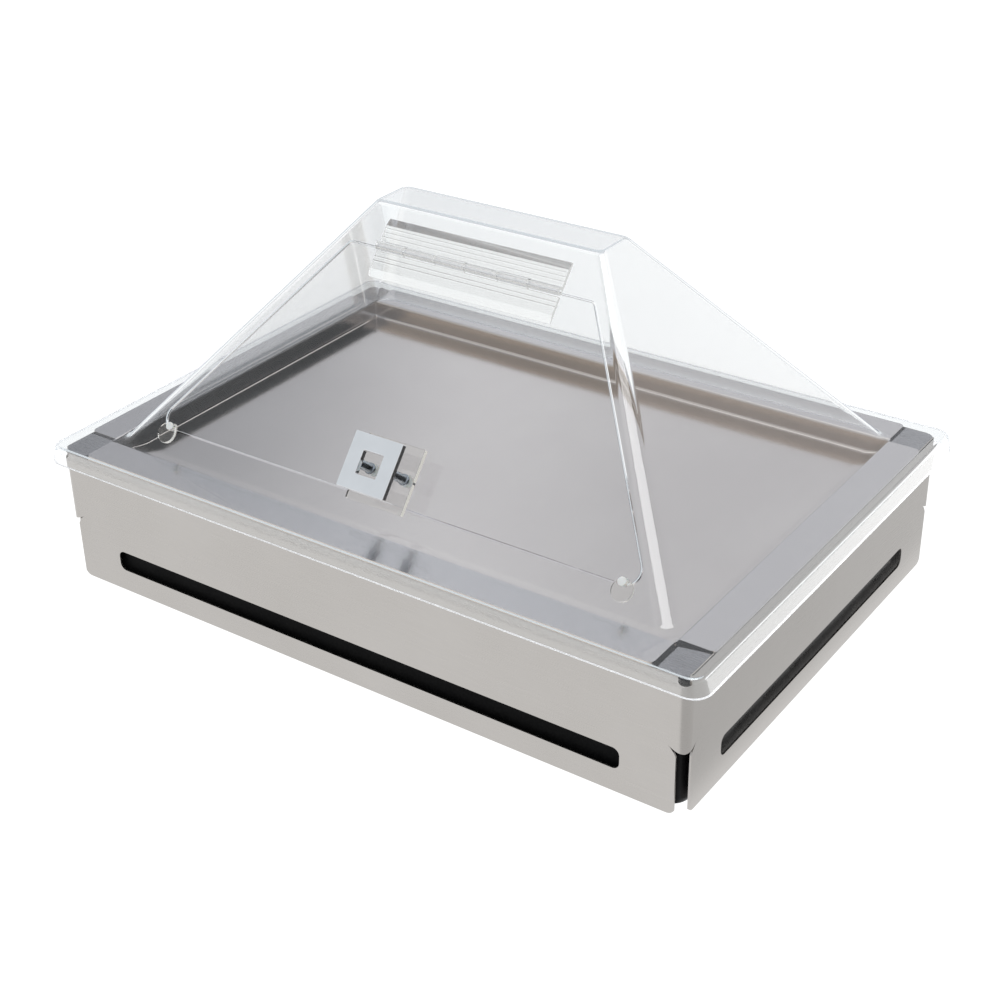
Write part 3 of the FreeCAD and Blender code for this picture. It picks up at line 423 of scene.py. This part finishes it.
def refine_handle_base():
    """welds the base into one skin, shrinks it by a hair and keeps its edges crisp"""
    modifiers = NODES["handle_base"].modifiers
    modifiers.new("one_skin", "WELD").merge_threshold = 0.000001
    gap = modifiers.new("hair_gap", "DISPLACE")
    gap.mid_level = 0.0
    gap.strength = -0.00004
    modifiers.new("crisp_edges", "EDGE_SPLIT").split_angle = math.radians(30)


dress_cad_pieces()
refine_handle_base()


# ------------------------------------------------------------------ mesh helpers
def mesh_object(name, bm, surface):
    mesh = bpy.data.meshes.new(name)
    bm.to_mesh(mesh)
    bm.free()
    mesh.materials.append(surface)
    piece = bpy.data.objects.new(name, mesh)
    SCENE.collection.objects.link(piece)
    return piece


def add_piece(name, bm, surface, body, replaces, angle):
    """a smooth-shaded piece; edges sharper than the angle, in degrees, stay sharp"""
    bmesh.ops.recalc_face_normals(bm, faces=bm.faces)
    piece = mesh_object(name, bm, surface)
    for face in piece.data.polygons:
        face.use_smooth = True
    piece.data.set_sharp_from_angle(angle=math.radians(angle))
    normals = piece.modifiers.new("even_normals", "WEIGHTED_NORMAL")
    normals.keep_sharp = True
    normals.weight = 90
    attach(piece, body)
    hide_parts(replaces)
    return piece


def bridge(bm, first, second, skip=None):
    """quads between two closed rings of vertices, but for the segment to skip"""
    count = len(first)
    return [bm.faces.new([first[i], first[(i + 1) % count], second[(i + 1) % count], second[i]])
            for i in range(count) if i != skip]


def inside(outline, point):
    """whether the point lies in the outline, by counting the edges crossed"""
    crossed = False
    for i in range(len(outline)):
        a, b = outline[i], outline[i - 1]
        if ((a.y > point.y) != (b.y > point.y)
                and point.x < (b.x - a.x) * (point.y - a.y) / (b.y - a.y) + a.x):
            crossed = not crossed
    return crossed


def triangulate(outer, hole, epsilon):
    """triangles between an outline and a hole in it; returns the points, the indices each
    came from, outline first and then hole, and the triangles"""
    start, edges = 0, []
    for outline in (outer, hole):
        count = len(outline)
        edges += [(start + i, start + (i + 1) % count) for i in range(count)]
        start += count
    points, _, faces, origins, _, _ = delaunay_2d_cdt(outer + hole, edges, [], 0, epsilon)
    kept = []
    for face in faces:
        middle = sum((points[i] for i in face), Vector((0, 0))) / len(face)
        if inside(outer, middle) and not inside(hole, middle):
            kept.append(face)
    return points, origins, kept


# ------------------------------------------------------------------ cover sheet
# Half sizes are measured from the middle of the cover's own box.
cover_low, cover_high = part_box("cover_shell")
CENTRE_X = (cover_low.x + cover_high.x) / 2 / MM
CENTRE_Y = (cover_low.y + cover_high.y) / 2 / MM
SHEET = 2.95                     # thickness of the cover and the door
TOP_Z = cover_high.z / MM
LEDGE_Z = PAN_TOP / MM + 3.0     # upper face of the ledge between skirt and pyramid

SKIRT_Z = cover_low.z / MM
SKIRT_LOW_X = (cover_high.x - cover_low.x) / 2 / MM
SKIRT_LOW_Y = (cover_high.y - cover_low.y) / 2 / MM
SKIRT_X, SKIRT_Y, SKIRT_RADIUS = SKIRT_LOW_X - 3.0, SKIRT_LOW_Y - 1.2, 13.0
SKIRT_BEND = 4.0                 # outer radius between skirt and ledge
INNER_BEND = [                   # (below the ledge's lower face, inwards)
    (1.0, 0.0), (0.7, 0.1), (0.3, 0.3), (0.1, 0.6), (0.0, 1.0)]

PYRAMID_Y = CENTRE_Y + 3.2       # the pyramid sits a little further back than the skirt
FOOT_X, FOOT_Y = 267.9, 180.5    # half sizes where the sloping faces meet the ledge
PEAK_X, PEAK_Y = 107.3, 19.9     # half sizes where they meet the top
FOOT_FILLET, TOP_ROUND = 9.0, 7.0
HIP_LOW, HIP_HIGH = 16.4, 6.0    # corner radius at the ledge and at the top
HIP_INSET = 3.85                 # how much smaller the inner face's corner radius is
SLOPE = math.atan2(TOP_Z - LEDGE_Z, FOOT_Y - PEAK_Y)

CORNER_STEPS = 14
RING_COUNT = 4 * (CORNER_STEPS + 1)
FRONT = 3 * (CORNER_STEPS + 1) - 1     # ring segment that runs along the front


def rounded_rectangle(half_x, half_y, radius):
    """RING_COUNT points, counter-clockwise from the back end of the right side"""
    points = []
    for k, (sx, sy) in enumerate(((1, 1), (-1, 1), (-1, -1), (1, -1))):
        for i in range(CORNER_STEPS + 1):
            a = math.pi / 2 * (k + i / CORNER_STEPS)
            points.append((sx * (half_x - radius) + radius * math.cos(a),
                           sy * (half_y - radius) + radius * math.sin(a)))
    return points


def bend_radii(inset):
    """radii of the foot's fillet and the top's rounding, on the outer or the inner face"""
    return FOOT_FILLET + inset, max(TOP_ROUND - inset, 1.0)


def half_size(z, foot, peak, inset):
    """the pyramid's half size at height z, along the axis that foot and peak belong to"""
    slope = math.atan2(TOP_Z - LEDGE_Z, foot - peak)
    fillet, rounding = bend_radii(inset)

    def on_slope(height):
        return foot - (height - LEDGE_Z) / math.tan(slope) - inset / math.sin(slope)

    centre_z = LEDGE_Z - inset + fillet
    if z < centre_z - fillet * math.cos(slope) - 1e-9:
        centre = on_slope(centre_z) + fillet / math.sin(slope)
        return centre - math.sqrt(max(fillet ** 2 - (centre_z - z) ** 2, 0.0))
    centre_z = TOP_Z - inset - rounding
    if z > centre_z + rounding * math.cos(slope) + 1e-9:
        centre = on_slope(centre_z) - rounding / math.sin(slope)
        return centre + math.sqrt(max(rounding ** 2 - (z - centre_z) ** 2, 0.0))
    return on_slope(z)


def hip_radius(z, inset):
    share = min(max((z - LEDGE_Z) / (TOP_Z - LEDGE_Z), 0.0), 1.0)
    radius = HIP_LOW + (HIP_HIGH - HIP_LOW) * share
    return max(radius - HIP_INSET, 0.6) if inset > 0 else radius


FOOT_STEPS, FACE_STEPS, TOP_STEPS = 8, 8, 5


def pyramid_rows(inset):
    """rings of points from the ledge up to the top"""
    low, high = LEDGE_Z - inset, TOP_Z - inset
    fillet, rounding = bend_radii(inset)
    face_low = low + fillet * (1 - math.cos(SLOPE))
    face_high = high - rounding * (1 - math.cos(SLOPE))
    heights = [low + fillet * (1 - math.cos(SLOPE * i / FOOT_STEPS))
               for i in range(FOOT_STEPS + 1)]
    heights += [face_low + (face_high - face_low) * i / FACE_STEPS
                for i in range(1, FACE_STEPS)]
    heights += [high - rounding * (1 - math.cos(SLOPE * (TOP_STEPS - i) / TOP_STEPS))
                for i in range(TOP_STEPS + 1)]
    rows = []
    for z in heights:
        half_x = half_size(z, FOOT_X, PEAK_X, inset)
        half_y = half_size(z, FOOT_Y, PEAK_Y, inset)
        radius = hip_radius(z, inset)
        if z < face_low:
            # the corner widens as much as the fillet spreads
            radius += half_y - (FOOT_Y - (z - LEDGE_Z) / math.tan(SLOPE)
                                - inset / math.sin(SLOPE))
        rows.append([(CENTRE_X + x, PYRAMID_Y + y, z) for x, y in
                     rounded_rectangle(half_x, half_y, min(radius, half_y - 0.5))])
    return rows


def skirt_rows(inset):
    """rings of points from the skirt's lower edge up to the bend into the ledge"""
    sections = [                 # (height, half x, half y, corner radius) of the outer face
        (SKIRT_Z, SKIRT_LOW_X, SKIRT_LOW_Y, SKIRT_RADIUS + 2),
        (SKIRT_Z + 5, SKIRT_LOW_X - 1.3, SKIRT_LOW_Y - 0.55, SKIRT_RADIUS + 1.2)]
    bend = INNER_BEND
    if inset == 0:
        quarter = [math.pi / 2 * i / 5 for i in range(6)]
        bend = [(SKIRT_BEND * (1 - math.sin(a)), SKIRT_BEND * (1 - math.cos(a)))
                for a in quarter]
    for below, inwards in bend:
        sections.append((LEDGE_Z - inset - below, SKIRT_X - inwards, SKIRT_Y - inwards,
                         SKIRT_RADIUS - inwards))
    return [[(CENTRE_X + x, CENTRE_Y + y, z) for x, y in
             rounded_rectangle(half_x - inset, half_y - inset, radius - inset)]
            for z, half_x, half_y, radius in sections]


# The front face's own frame: x from the middle to the right, s up the slope from the
# ledge, and off outwards from the face.
FACE_ORIGIN_Y = PYRAMID_Y - FOOT_Y
UP_SLOPE = Vector((0, math.cos(SLOPE), math.sin(SLOPE)))
OUTWARDS = Vector((0, -math.sin(SLOPE), math.cos(SLOPE)))


def on_face(x, s, off=0.0):
    return Vector((CENTRE_X + x, FACE_ORIGIN_Y, LEDGE_Z)) + UP_SLOPE * s + OUTWARDS * off


DOOR_LOW, DOOR_HIGH = 21.5, 214.5            # along s
DOOR_HALF_LOW, DOOR_HALF_HIGH = 238.4, 115.8
DOOR_RADIUS_LOW, DOOR_RADIUS_HIGH = 12, 6


def door_outline(grow, steps=8):
    """the door opening's outline as (x, s), grown outwards, counter-clockwise"""
    low, high = DOOR_LOW - grow, DOOR_HIGH + grow
    taper = (DOOR_HALF_LOW - DOOR_HALF_HIGH) / (DOOR_HIGH - DOOR_LOW)
    sideways = grow * math.sqrt(1 + taper * taper)
    half_low = DOOR_HALF_LOW + sideways + grow * taper
    half_high = DOOR_HALF_HIGH + sideways - grow * taper
    corners = [Vector((-half_low, low)), Vector((half_low, low)),
               Vector((half_high, high)), Vector((-half_high, high))]
    radii = [DOOR_RADIUS_LOW + grow] * 2 + [DOOR_RADIUS_HIGH + grow] * 2
    outline = []
    for i, (corner, radius) in enumerate(zip(corners, radii)):
        back = (corners[i - 1] - corner).normalized()
        ahead = (corners[(i + 1) % 4] - corner).normalized()
        half_angle = math.acos(max(-1, min(1, back.dot(ahead)))) / 2
        centre = corner + (back + ahead).normalized() * (radius / math.sin(half_angle))
        length = radius / math.tan(half_angle)
        first, last = corner + back * length - centre, corner + ahead * length - centre
        start = math.atan2(first.y, first.x)
        end = math.atan2(last.y, last.x)
        turn = (end - start + math.pi) % (2 * math.pi) - math.pi
        for k in range(steps + 1):
            a = start + turn * k / steps
            outline.append(Vector((centre.x + radius * math.cos(a),
                                   centre.y + radius * math.sin(a))))
    return outline


def fill_front(bm, ring, hole, off):
    """fills the flat front face from a ring of vertices to a hole; returns the hole's"""
    outer = [Vector((v.co.x / MM - CENTRE_X, (v.co / MM - on_face(0, 0)).dot(UP_SLOPE)))
             for v in ring]
    points, origins, triangles = triangulate(outer, hole, epsilon=1e-6)
    count = len(ring)
    verts = [ring[origin[0]] if origin[0] < count
             else bm.verts.new(on_face(point.x, point.y, off) * MM)
             for point, origin in zip(points, origins)]
    for triangle in triangles:
        bm.faces.new([verts[i] for i in triangle])
    by_origin = {k: vert for vert, origin in zip(verts, origins) for k in origin}
    return [by_origin[count + k] for k in range(len(hole))]


def build_cover():
    bm = bmesh.new()
    lower_edges, openings = [], []
    for inset in (0.0, SHEET):
        skirt = skirt_rows(inset)
        rows = [[bm.verts.new(Vector(point) * MM) for point in row]
                for row in skirt + pyramid_rows(inset)]
        face_start = len(skirt) + FOOT_STEPS
        face_end = face_start + FACE_STEPS
        for i in range(len(rows) - 1):
            skip = FRONT if face_start <= i < face_end else None
            bridge(bm, rows[i], rows[i + 1], skip)
        bm.faces.new(rows[-1])
        flat = rows[face_start:face_end + 1]
        ring = [row[FRONT] for row in flat] + [row[FRONT + 1] for row in reversed(flat)]
        openings.append(fill_front(bm, ring, door_outline(0.0), -inset))
        lower_edges.append(rows[0])
    for face in bridge(bm, *lower_edges):
        face.material_index = 1
    bridge(bm, *openings)
    piece = add_piece("cover_sheet", bm, MATERIALS["clear_cover"], "cover",
                      "cover_shell", angle=32)
    piece.data.materials.append(sawn_edge())
    return piece


DOOR_GAP, DOOR_CHAMFER = 1.2, 0.25


def build_door():
    bm = bmesh.new()
    section = [                  # (growth of the outline, off the face)
        (-DOOR_GAP - DOOR_CHAMFER, 0.0), (-DOOR_GAP, -DOOR_CHAMFER),
        (-DOOR_GAP, -SHEET + DOOR_CHAMFER), (-DOOR_GAP - DOOR_CHAMFER, -SHEET)]
    rings = [[bm.verts.new(on_face(point.x, point.y, off) * MM)
              for point in door_outline(grow, steps=12)] for grow, off in section]
    for first, second in zip(rings, rings[1:]):
        bridge(bm, first, second)
    bm.faces.new(rings[0])
    bm.faces.new(list(reversed(rings[-1])))
    return add_piece("door_sheet", bm, MATERIALS["clear_cover"], "door",
                     "door_panel", angle=40)


cover = build_cover()
door = build_door()

# ------------------------------------------------------------------ piano hinge
# Two clear leaves lie on the front face, above and below the hinge axis. Each has a
# bevelled outer edge and small rounded ridges; the knuckles are tubes round the axis.
# A leaf's points are (out, off): out from the axis along the face, off outwards from it.
AXIS_S, AXIS_OFF = 214.6, 3.6
KNUCKLE_ENDS = [-86.0, -59.3, -29.2, -0.6, 30.2, 58.4, 87.2]     # along x
KNUCKLE_RADIUS, BORE_RADIUS = 3.5, 1.6
KNUCKLE_GAP, OUTER_GAP = 0.3, 0.05     # at a knuckle's ends, and at the hinge's two ends
SKIN_STEPS, BORE_STEPS = 26, 24
LEAF_THICKNESS, NOTCH, FACE_GAP = 2.8, 4.3, 0.05
EDGE = 0.15                            # rounding of the notch edge
END_SHRINK = 0.12                      # chamfer at both ends of a leaf
RIDGE_RADIUS, RIDGE_HEIGHT = 0.6, 0.16


def leaf_profile(end, ridges):
    """cross-section from the notch edge outwards: upper face, then lower face"""
    upper = [(NOTCH, LEAF_THICKNESS - EDGE), (NOTCH + EDGE, LEAF_THICKNESS)]
    for ridge in ridges:
        for k in range(9):
            a = math.pi * k / 8
            upper.append((ridge - RIDGE_RADIUS * math.cos(a),
                          LEAF_THICKNESS + RIDGE_HEIGHT * math.sin(a) ** 1.4))
    bevel = end - 6.3
    upper += [(bevel - 0.4, LEAF_THICKNESS), (bevel - 0.1, LEAF_THICKNESS - 0.03),
              (bevel + 0.2, LEAF_THICKNESS - 0.12),
              (end - 0.2, 0.80), (end - 0.05, 0.70), (end, 0.55)]
    lower = [(end, FACE_GAP + 0.1), (end - 0.1, FACE_GAP),
             (NOTCH + 0.1, FACE_GAP), (NOTCH, FACE_GAP + 0.1)]
    return upper + lower


def shrunk(profile, end, amount):
    """the profile drawn in at its notch edge, outer edge and both faces"""
    points = []
    for out, off in profile:
        if out <= NOTCH + 0.2:
            out += amount
        elif out > end - 2:
            out -= amount
        points.append((out, off - amount if off > 1.2 else off + amount))
    return points


def round_axis(radius, angle):
    return radius * math.cos(angle), AXIS_OFF + radius * math.sin(angle)


def add_knuckle(bm, rows, place_vert, side):
    """a bored tube that grows from the notch edge of the given (x, ring) rows"""
    start = math.asin((LEAF_THICKNESS - EDGE - AXIS_OFF) / KNUCKLE_RADIUS)
    skin = [round_axis(KNUCKLE_RADIUS, start + (1.5 * math.pi - start) * k / SKIN_STEPS)
            for k in range(SKIN_STEPS + 1)]
    lowest = FACE_GAP + 0.1
    loops = [[ring[0]] + [place_vert(x, out, max(off, lowest)) for out, off in skin] + [ring[-1]]
             for x, ring in rows]
    for first, second in zip(loops, loops[1:]):
        for i in range(len(first) - 1):
            bm.faces.new([first[i], second[i], second[i + 1], first[i + 1]])
    bores = [[place_vert(x, *round_axis(BORE_RADIUS, 2 * math.pi * k / BORE_STEPS))
              for k in range(BORE_STEPS)] for x in (rows[0][0], rows[-1][0])]
    bridge(bm, *bores)
    # end faces, with the bore cut out
    for loop, bore in ((loops[0], bores[0]), (loops[-1], bores[1])):
        verts = loop + bore
        flat = []
        for vert in verts:
            offset = vert.co - loop[0].co
            flat.append(Vector((offset.dot(UP_SLOPE) / MM * side, offset.dot(OUTWARDS) / MM)))
        _, origins, triangles = triangulate(flat[:len(loop)], flat[len(loop):], epsilon=1e-7)
        for triangle in triangles:
            bm.faces.new([verts[origins[i][0]] for i in triangle])


def build_leaf(name, body, replaces, side, end, ridges, knuckles):
    """side is 1 for the leaf above the axis and -1 for the one below"""
    bm = bmesh.new()

    def place_vert(x, out, off):
        return bm.verts.new(on_face(x, AXIS_S + side * out, off) * MM)

    left, right = KNUCKLE_ENDS[0], KNUCKLE_ENDS[-1]
    last = len(KNUCKLE_ENDS) - 2
    spans = [(KNUCKLE_ENDS[i] + (OUTER_GAP if i == 0 else KNUCKLE_GAP),
              KNUCKLE_ENDS[i + 1] - (OUTER_GAP if i == last else KNUCKLE_GAP))
             for i in knuckles]
    stops = sorted([x for span in spans for x in span]
                   + [left + KNUCKLE_GAP, right - KNUCKLE_GAP])
    profile = leaf_profile(end, ridges)
    stations = ([(left, END_SHRINK)] + [(x, 0.0) for x in stops] + [(right, END_SHRINK)])
    rows = [(x, [place_vert(x, *point) for point in shrunk(profile, end, amount)])
            for x, amount in stations]
    # the notch edge, the last segment of each ring, stays open where a knuckle grows from it
    for (x0, first), (x1, second) in zip(rows, rows[1:]):
        in_knuckle = any(a - 1e-6 <= x0 and x1 <= b + 1e-6 for a, b in spans)
        bridge(bm, first, second, skip=len(profile) - 1 if in_knuckle else None)
    bm.faces.new(list(reversed(rows[0][1])))
    bm.faces.new(rows[-1][1])
    for a, b in spans:
        add_knuckle(bm, [row for row in rows if a - 1e-6 <= row[0] <= b + 1e-6],
                    place_vert, side)
    add_piece(name, bm, MATERIALS["clear_hinge"], body, replaces, angle=24)


build_leaf("hinge_leaf_upper", "cover", "hinge_upper_leaf", side=1.0, end=24.0,
           ridges=(7.6, 11.4, 15.0), knuckles=(1, 3, 5))
build_leaf("hinge_leaf_lower", "door", "hinge_lower_leaf", side=-1.0, end=25.7,
           ridges=(9.0, 12.6), knuckles=(0, 2, 4))

# ------------------------------------------------------------------ handle posts
POST_MIDDLE_X, POST_HALF_SPACING, POST_S = 1.3, 16.3, 43.2
POST_SEGMENTS = 40
COLLAR, STEM = (4.7, 5.2), (3.85, 7.4)       # the quarter-round's ends, as (radius, off)


def post_profile():
    """(radius, off the face), from the foot outwards"""
    quarter_round = [(STEM[0] + (COLLAR[0] - STEM[0]) * math.cos(math.pi / 2 * k / 8),
                      COLLAR[1] + (STEM[1] - COLLAR[1]) * math.sin(math.pi / 2 * k / 8))
                     for k in range(9)]
    return ([(3.9, 4.5), (4.55, 4.6), (4.7, 4.9)] + quarter_round
            + [(3.8, 7.6), (3.8, 26.2), (3.65, 26.6), (3.5, 26.95)])


def build_post(side, x, steel):
    """a turned post that stands square to the door"""
    bm = bmesh.new()
    angles = [2 * math.pi * k / POST_SEGMENTS for k in range(POST_SEGMENTS)]
    rings = [[bm.verts.new(on_face(x + radius * math.cos(a), POST_S + radius * math.sin(a),
                                   off) * MM) for a in angles]
             for radius, off in post_profile()]
    for first, second in zip(rings, rings[1:]):
        bridge(bm, first, second)
    bm.faces.new(list(reversed(rings[0])))
    bm.faces.new(rings[-1])
    add_piece("handle_post_turned_" + side, bm, steel, "door",
              "handle_post_" + side, angle=35)


# painted reflection: the posts are chrome, and their dark slate tint stands in for the dark
# surroundings they mirror
post_steel = polished_metal("turned_post_steel", tint=(0.36, 0.40, 0.44), roughness=(0.12, 0.20))
build_post("left", POST_MIDDLE_X - POST_HALF_SPACING, post_steel)
build_post("right", POST_MIDDLE_X + POST_HALF_SPACING, post_steel)


# ------------------------------------------------------------------ floor and world
def build_floor(half=30.0):
    bm = bmesh.new()
    bm.faces.new([bm.verts.new((x * half, y * half, 0))
                  for x, y in ((-1, -1), (1, -1), (1, 1), (-1, 1))])
    mesh_object("floor", bm, pale_floor())


# Each sky is a plain colour with soft patches laid over it in turn:
# (direction, angle of the full patch, angle where it ends, colour), angles in degrees.
OPEN_SKY = (0.74, 0.745, 0.76), [
    ((0, 0, 1), 20, 60, (0.90, 0.90, 0.91)),
    ((-0.5, 0.71, 0.49), 10, 45, (0.66, 0.67, 0.70)),
    ((-0.55, -0.65, 0.70), 10, 40, (0.66, 0.69, 0.72)),
    ((0.58, 0.71, 0.35), 14, 40, (0.84, 0.83, 0.85)),
]
PAN_SKY = (0.62, 0.625, 0.64), [
    ((0, 0, 1), 14, 40, (1.45, 1.38, 1.30)),
    ((-0.60, 0.74, 0.36), 12, 34, (1.04, 1.02, 1.03)),
    ((-0.86, 0.45, 0.30), 16, 28, (0.44, 0.44, 0.46)),
    ((-0.30, 0.79, 0.53), 4, 17, (0.75, 0.735, 0.745)),
    ((0.0, 0.71, 0.70), 7, 17, (1.70, 1.62, 1.55)),
    ((-0.6, -0.7, 0.45), 14, 46, (0.66, 0.605, 0.555)),
    ((0.62, 0.62, 0.46), 24, 40, (0.012, 0.008, 0.006)),
]
WHITE_ROOM = (1.12, 1.12, 1.12)


def paint_sky(nodes, colour, patches):
    for direction, inner, outer, patch_colour in patches:
        along = nodes.node("VectorMath", {0: nodes.place, 1: Vector(direction).normalized()},
                           operation="DOT_PRODUCT")["Value"]
        reach = (math.cos(math.radians(outer)), math.cos(math.radians(inner)))
        colour = nodes.mix(nodes.remap(along, span=reach, smooth=True), colour, patch_colour)
    return colour


def build_world():
    world = bpy.data.worlds.new("studio")
    SCENE.world = world
    world.cycles.sampling_method = "NONE"
    nodes = Nodes(world, output="OutputWorld", coordinates="Generated")
    # rays bent or mirrored more than once, as from the pan under the cover, meet their own sky
    ray = nodes.node("LightPath")
    bounces = nodes.math("MAXIMUM", ray["Transmission Depth"], ray["Glossy Depth"])
    deep = nodes.math("MULTIPLY", nodes.math("GREATER_THAN", bounces, 1.5),
                      nodes.math("SUBTRACT", 1.0, ray["Is Transmission Ray"]))
    sky = nodes.mix(deep, paint_sky(nodes, *OPEN_SKY), paint_sky(nodes, *PAN_SKY))
    # seen directly, or low down through the sheet, the room is a plain white
    low = nodes.math("LESS_THAN", nodes.split(nodes.place)["Z"], 0.12)
    through = nodes.math("MULTIPLY", low, ray["Is Transmission Ray"])
    seen = nodes.math("MAXIMUM", through, ray["Is Camera Ray"])
    nodes.finish(nodes.shader("Background", Color=nodes.mix(seen, sky, WHITE_ROOM),
                              Strength=1.0))


build_floor()
build_world()

# ------------------------------------------------------------------ lights
# Both lights reach only the clear sheets.
sheets = bpy.data.collections.new("clear_sheets")
sheets.objects.link(cover)
sheets.objects.link(door)


def sheet_light(name, place, rotation, shape, size, power):
    lamp = bpy.data.lights.new(name, "AREA")
    lamp.shape = shape
    lamp.size, lamp.size_y = size
    lamp.energy = power
    light = bpy.data.objects.new(name, lamp)
    SCENE.collection.objects.link(light)
    light.location = place
    light.rotation_mode = "QUATERNION"
    light.rotation_quaternion = rotation
    light.light_linking.receiver_collection = sheets
    light.visible_camera = False
    light.visible_transmission = False
    light.visible_diffuse = False


def add_hip_softbox():
    """high above, a little to the front right: a bright band down the rounded hip"""
    aim = Vector((0.17, -0.10, 0.20))
    away = Vector((0.30, -0.17, 0.94)).normalized()
    across = Vector((0.43, 0.45, -0.02))
    across = (across - away * across.dot(away)).normalized()
    rotation = Matrix((across, away.cross(across), away)).transposed().to_quaternion()
    sheet_light("hip_softbox", aim + away * 1.9, rotation, shape="ELLIPSE",
                size=(1.35, 1.15), power=27.0)


def add_side_strip():
    """a low strip to the right of the object"""
    place, aim = Vector((0.44, 0.19, 0.05)), Vector((0.31, 0.19, 0.05))
    sheet_light("side_strip", place, (aim - place).to_track_quat("-Z", "Y"),
                shape="RECTANGLE", size=(0.62, 0.09), power=0.55)


add_hip_softbox()
add_side_strip()

# ------------------------------------------------------------------ camera and render
CAMERA_PLACE = Vector((0.75731, -1.07793, 0.81510))
CAMERA_TURN = Matrix((           # columns: the camera's right, up and backward directions
    (0.82228, -0.27131, 0.50026),
    (0.56891, 0.41408, -0.71056),
    (-0.01437, 0.86888, 0.49484)))


def add_camera():
    lens = bpy.data.cameras.new("camera")
    lens.sensor_width = 36.0
    lens.lens = 63.989
    lens.clip_start, lens.clip_end = 0.02, 100.0
    camera = bpy.data.objects.new("camera", lens)
    SCENE.collection.objects.link(camera)
    camera.matrix_world = Matrix.Translation(CAMERA_PLACE) @ CAMERA_TURN.to_4x4()
    SCENE.camera = camera


add_camera()
SCENE.view_settings.view_transform = "Standard"
SCENE.view_settings.look = "None"
SCENE.cycles.max_bounces = 16
SCENE.cycles.transmission_bounces = 16
SCENE.cycles.transparent_max_bounces = 32
SCENE.cycles.glossy_bounces = 14
SCENE.cycles.diffuse_bounces = 4
SCENE.cycles.sample_clamp_indirect = 6.0
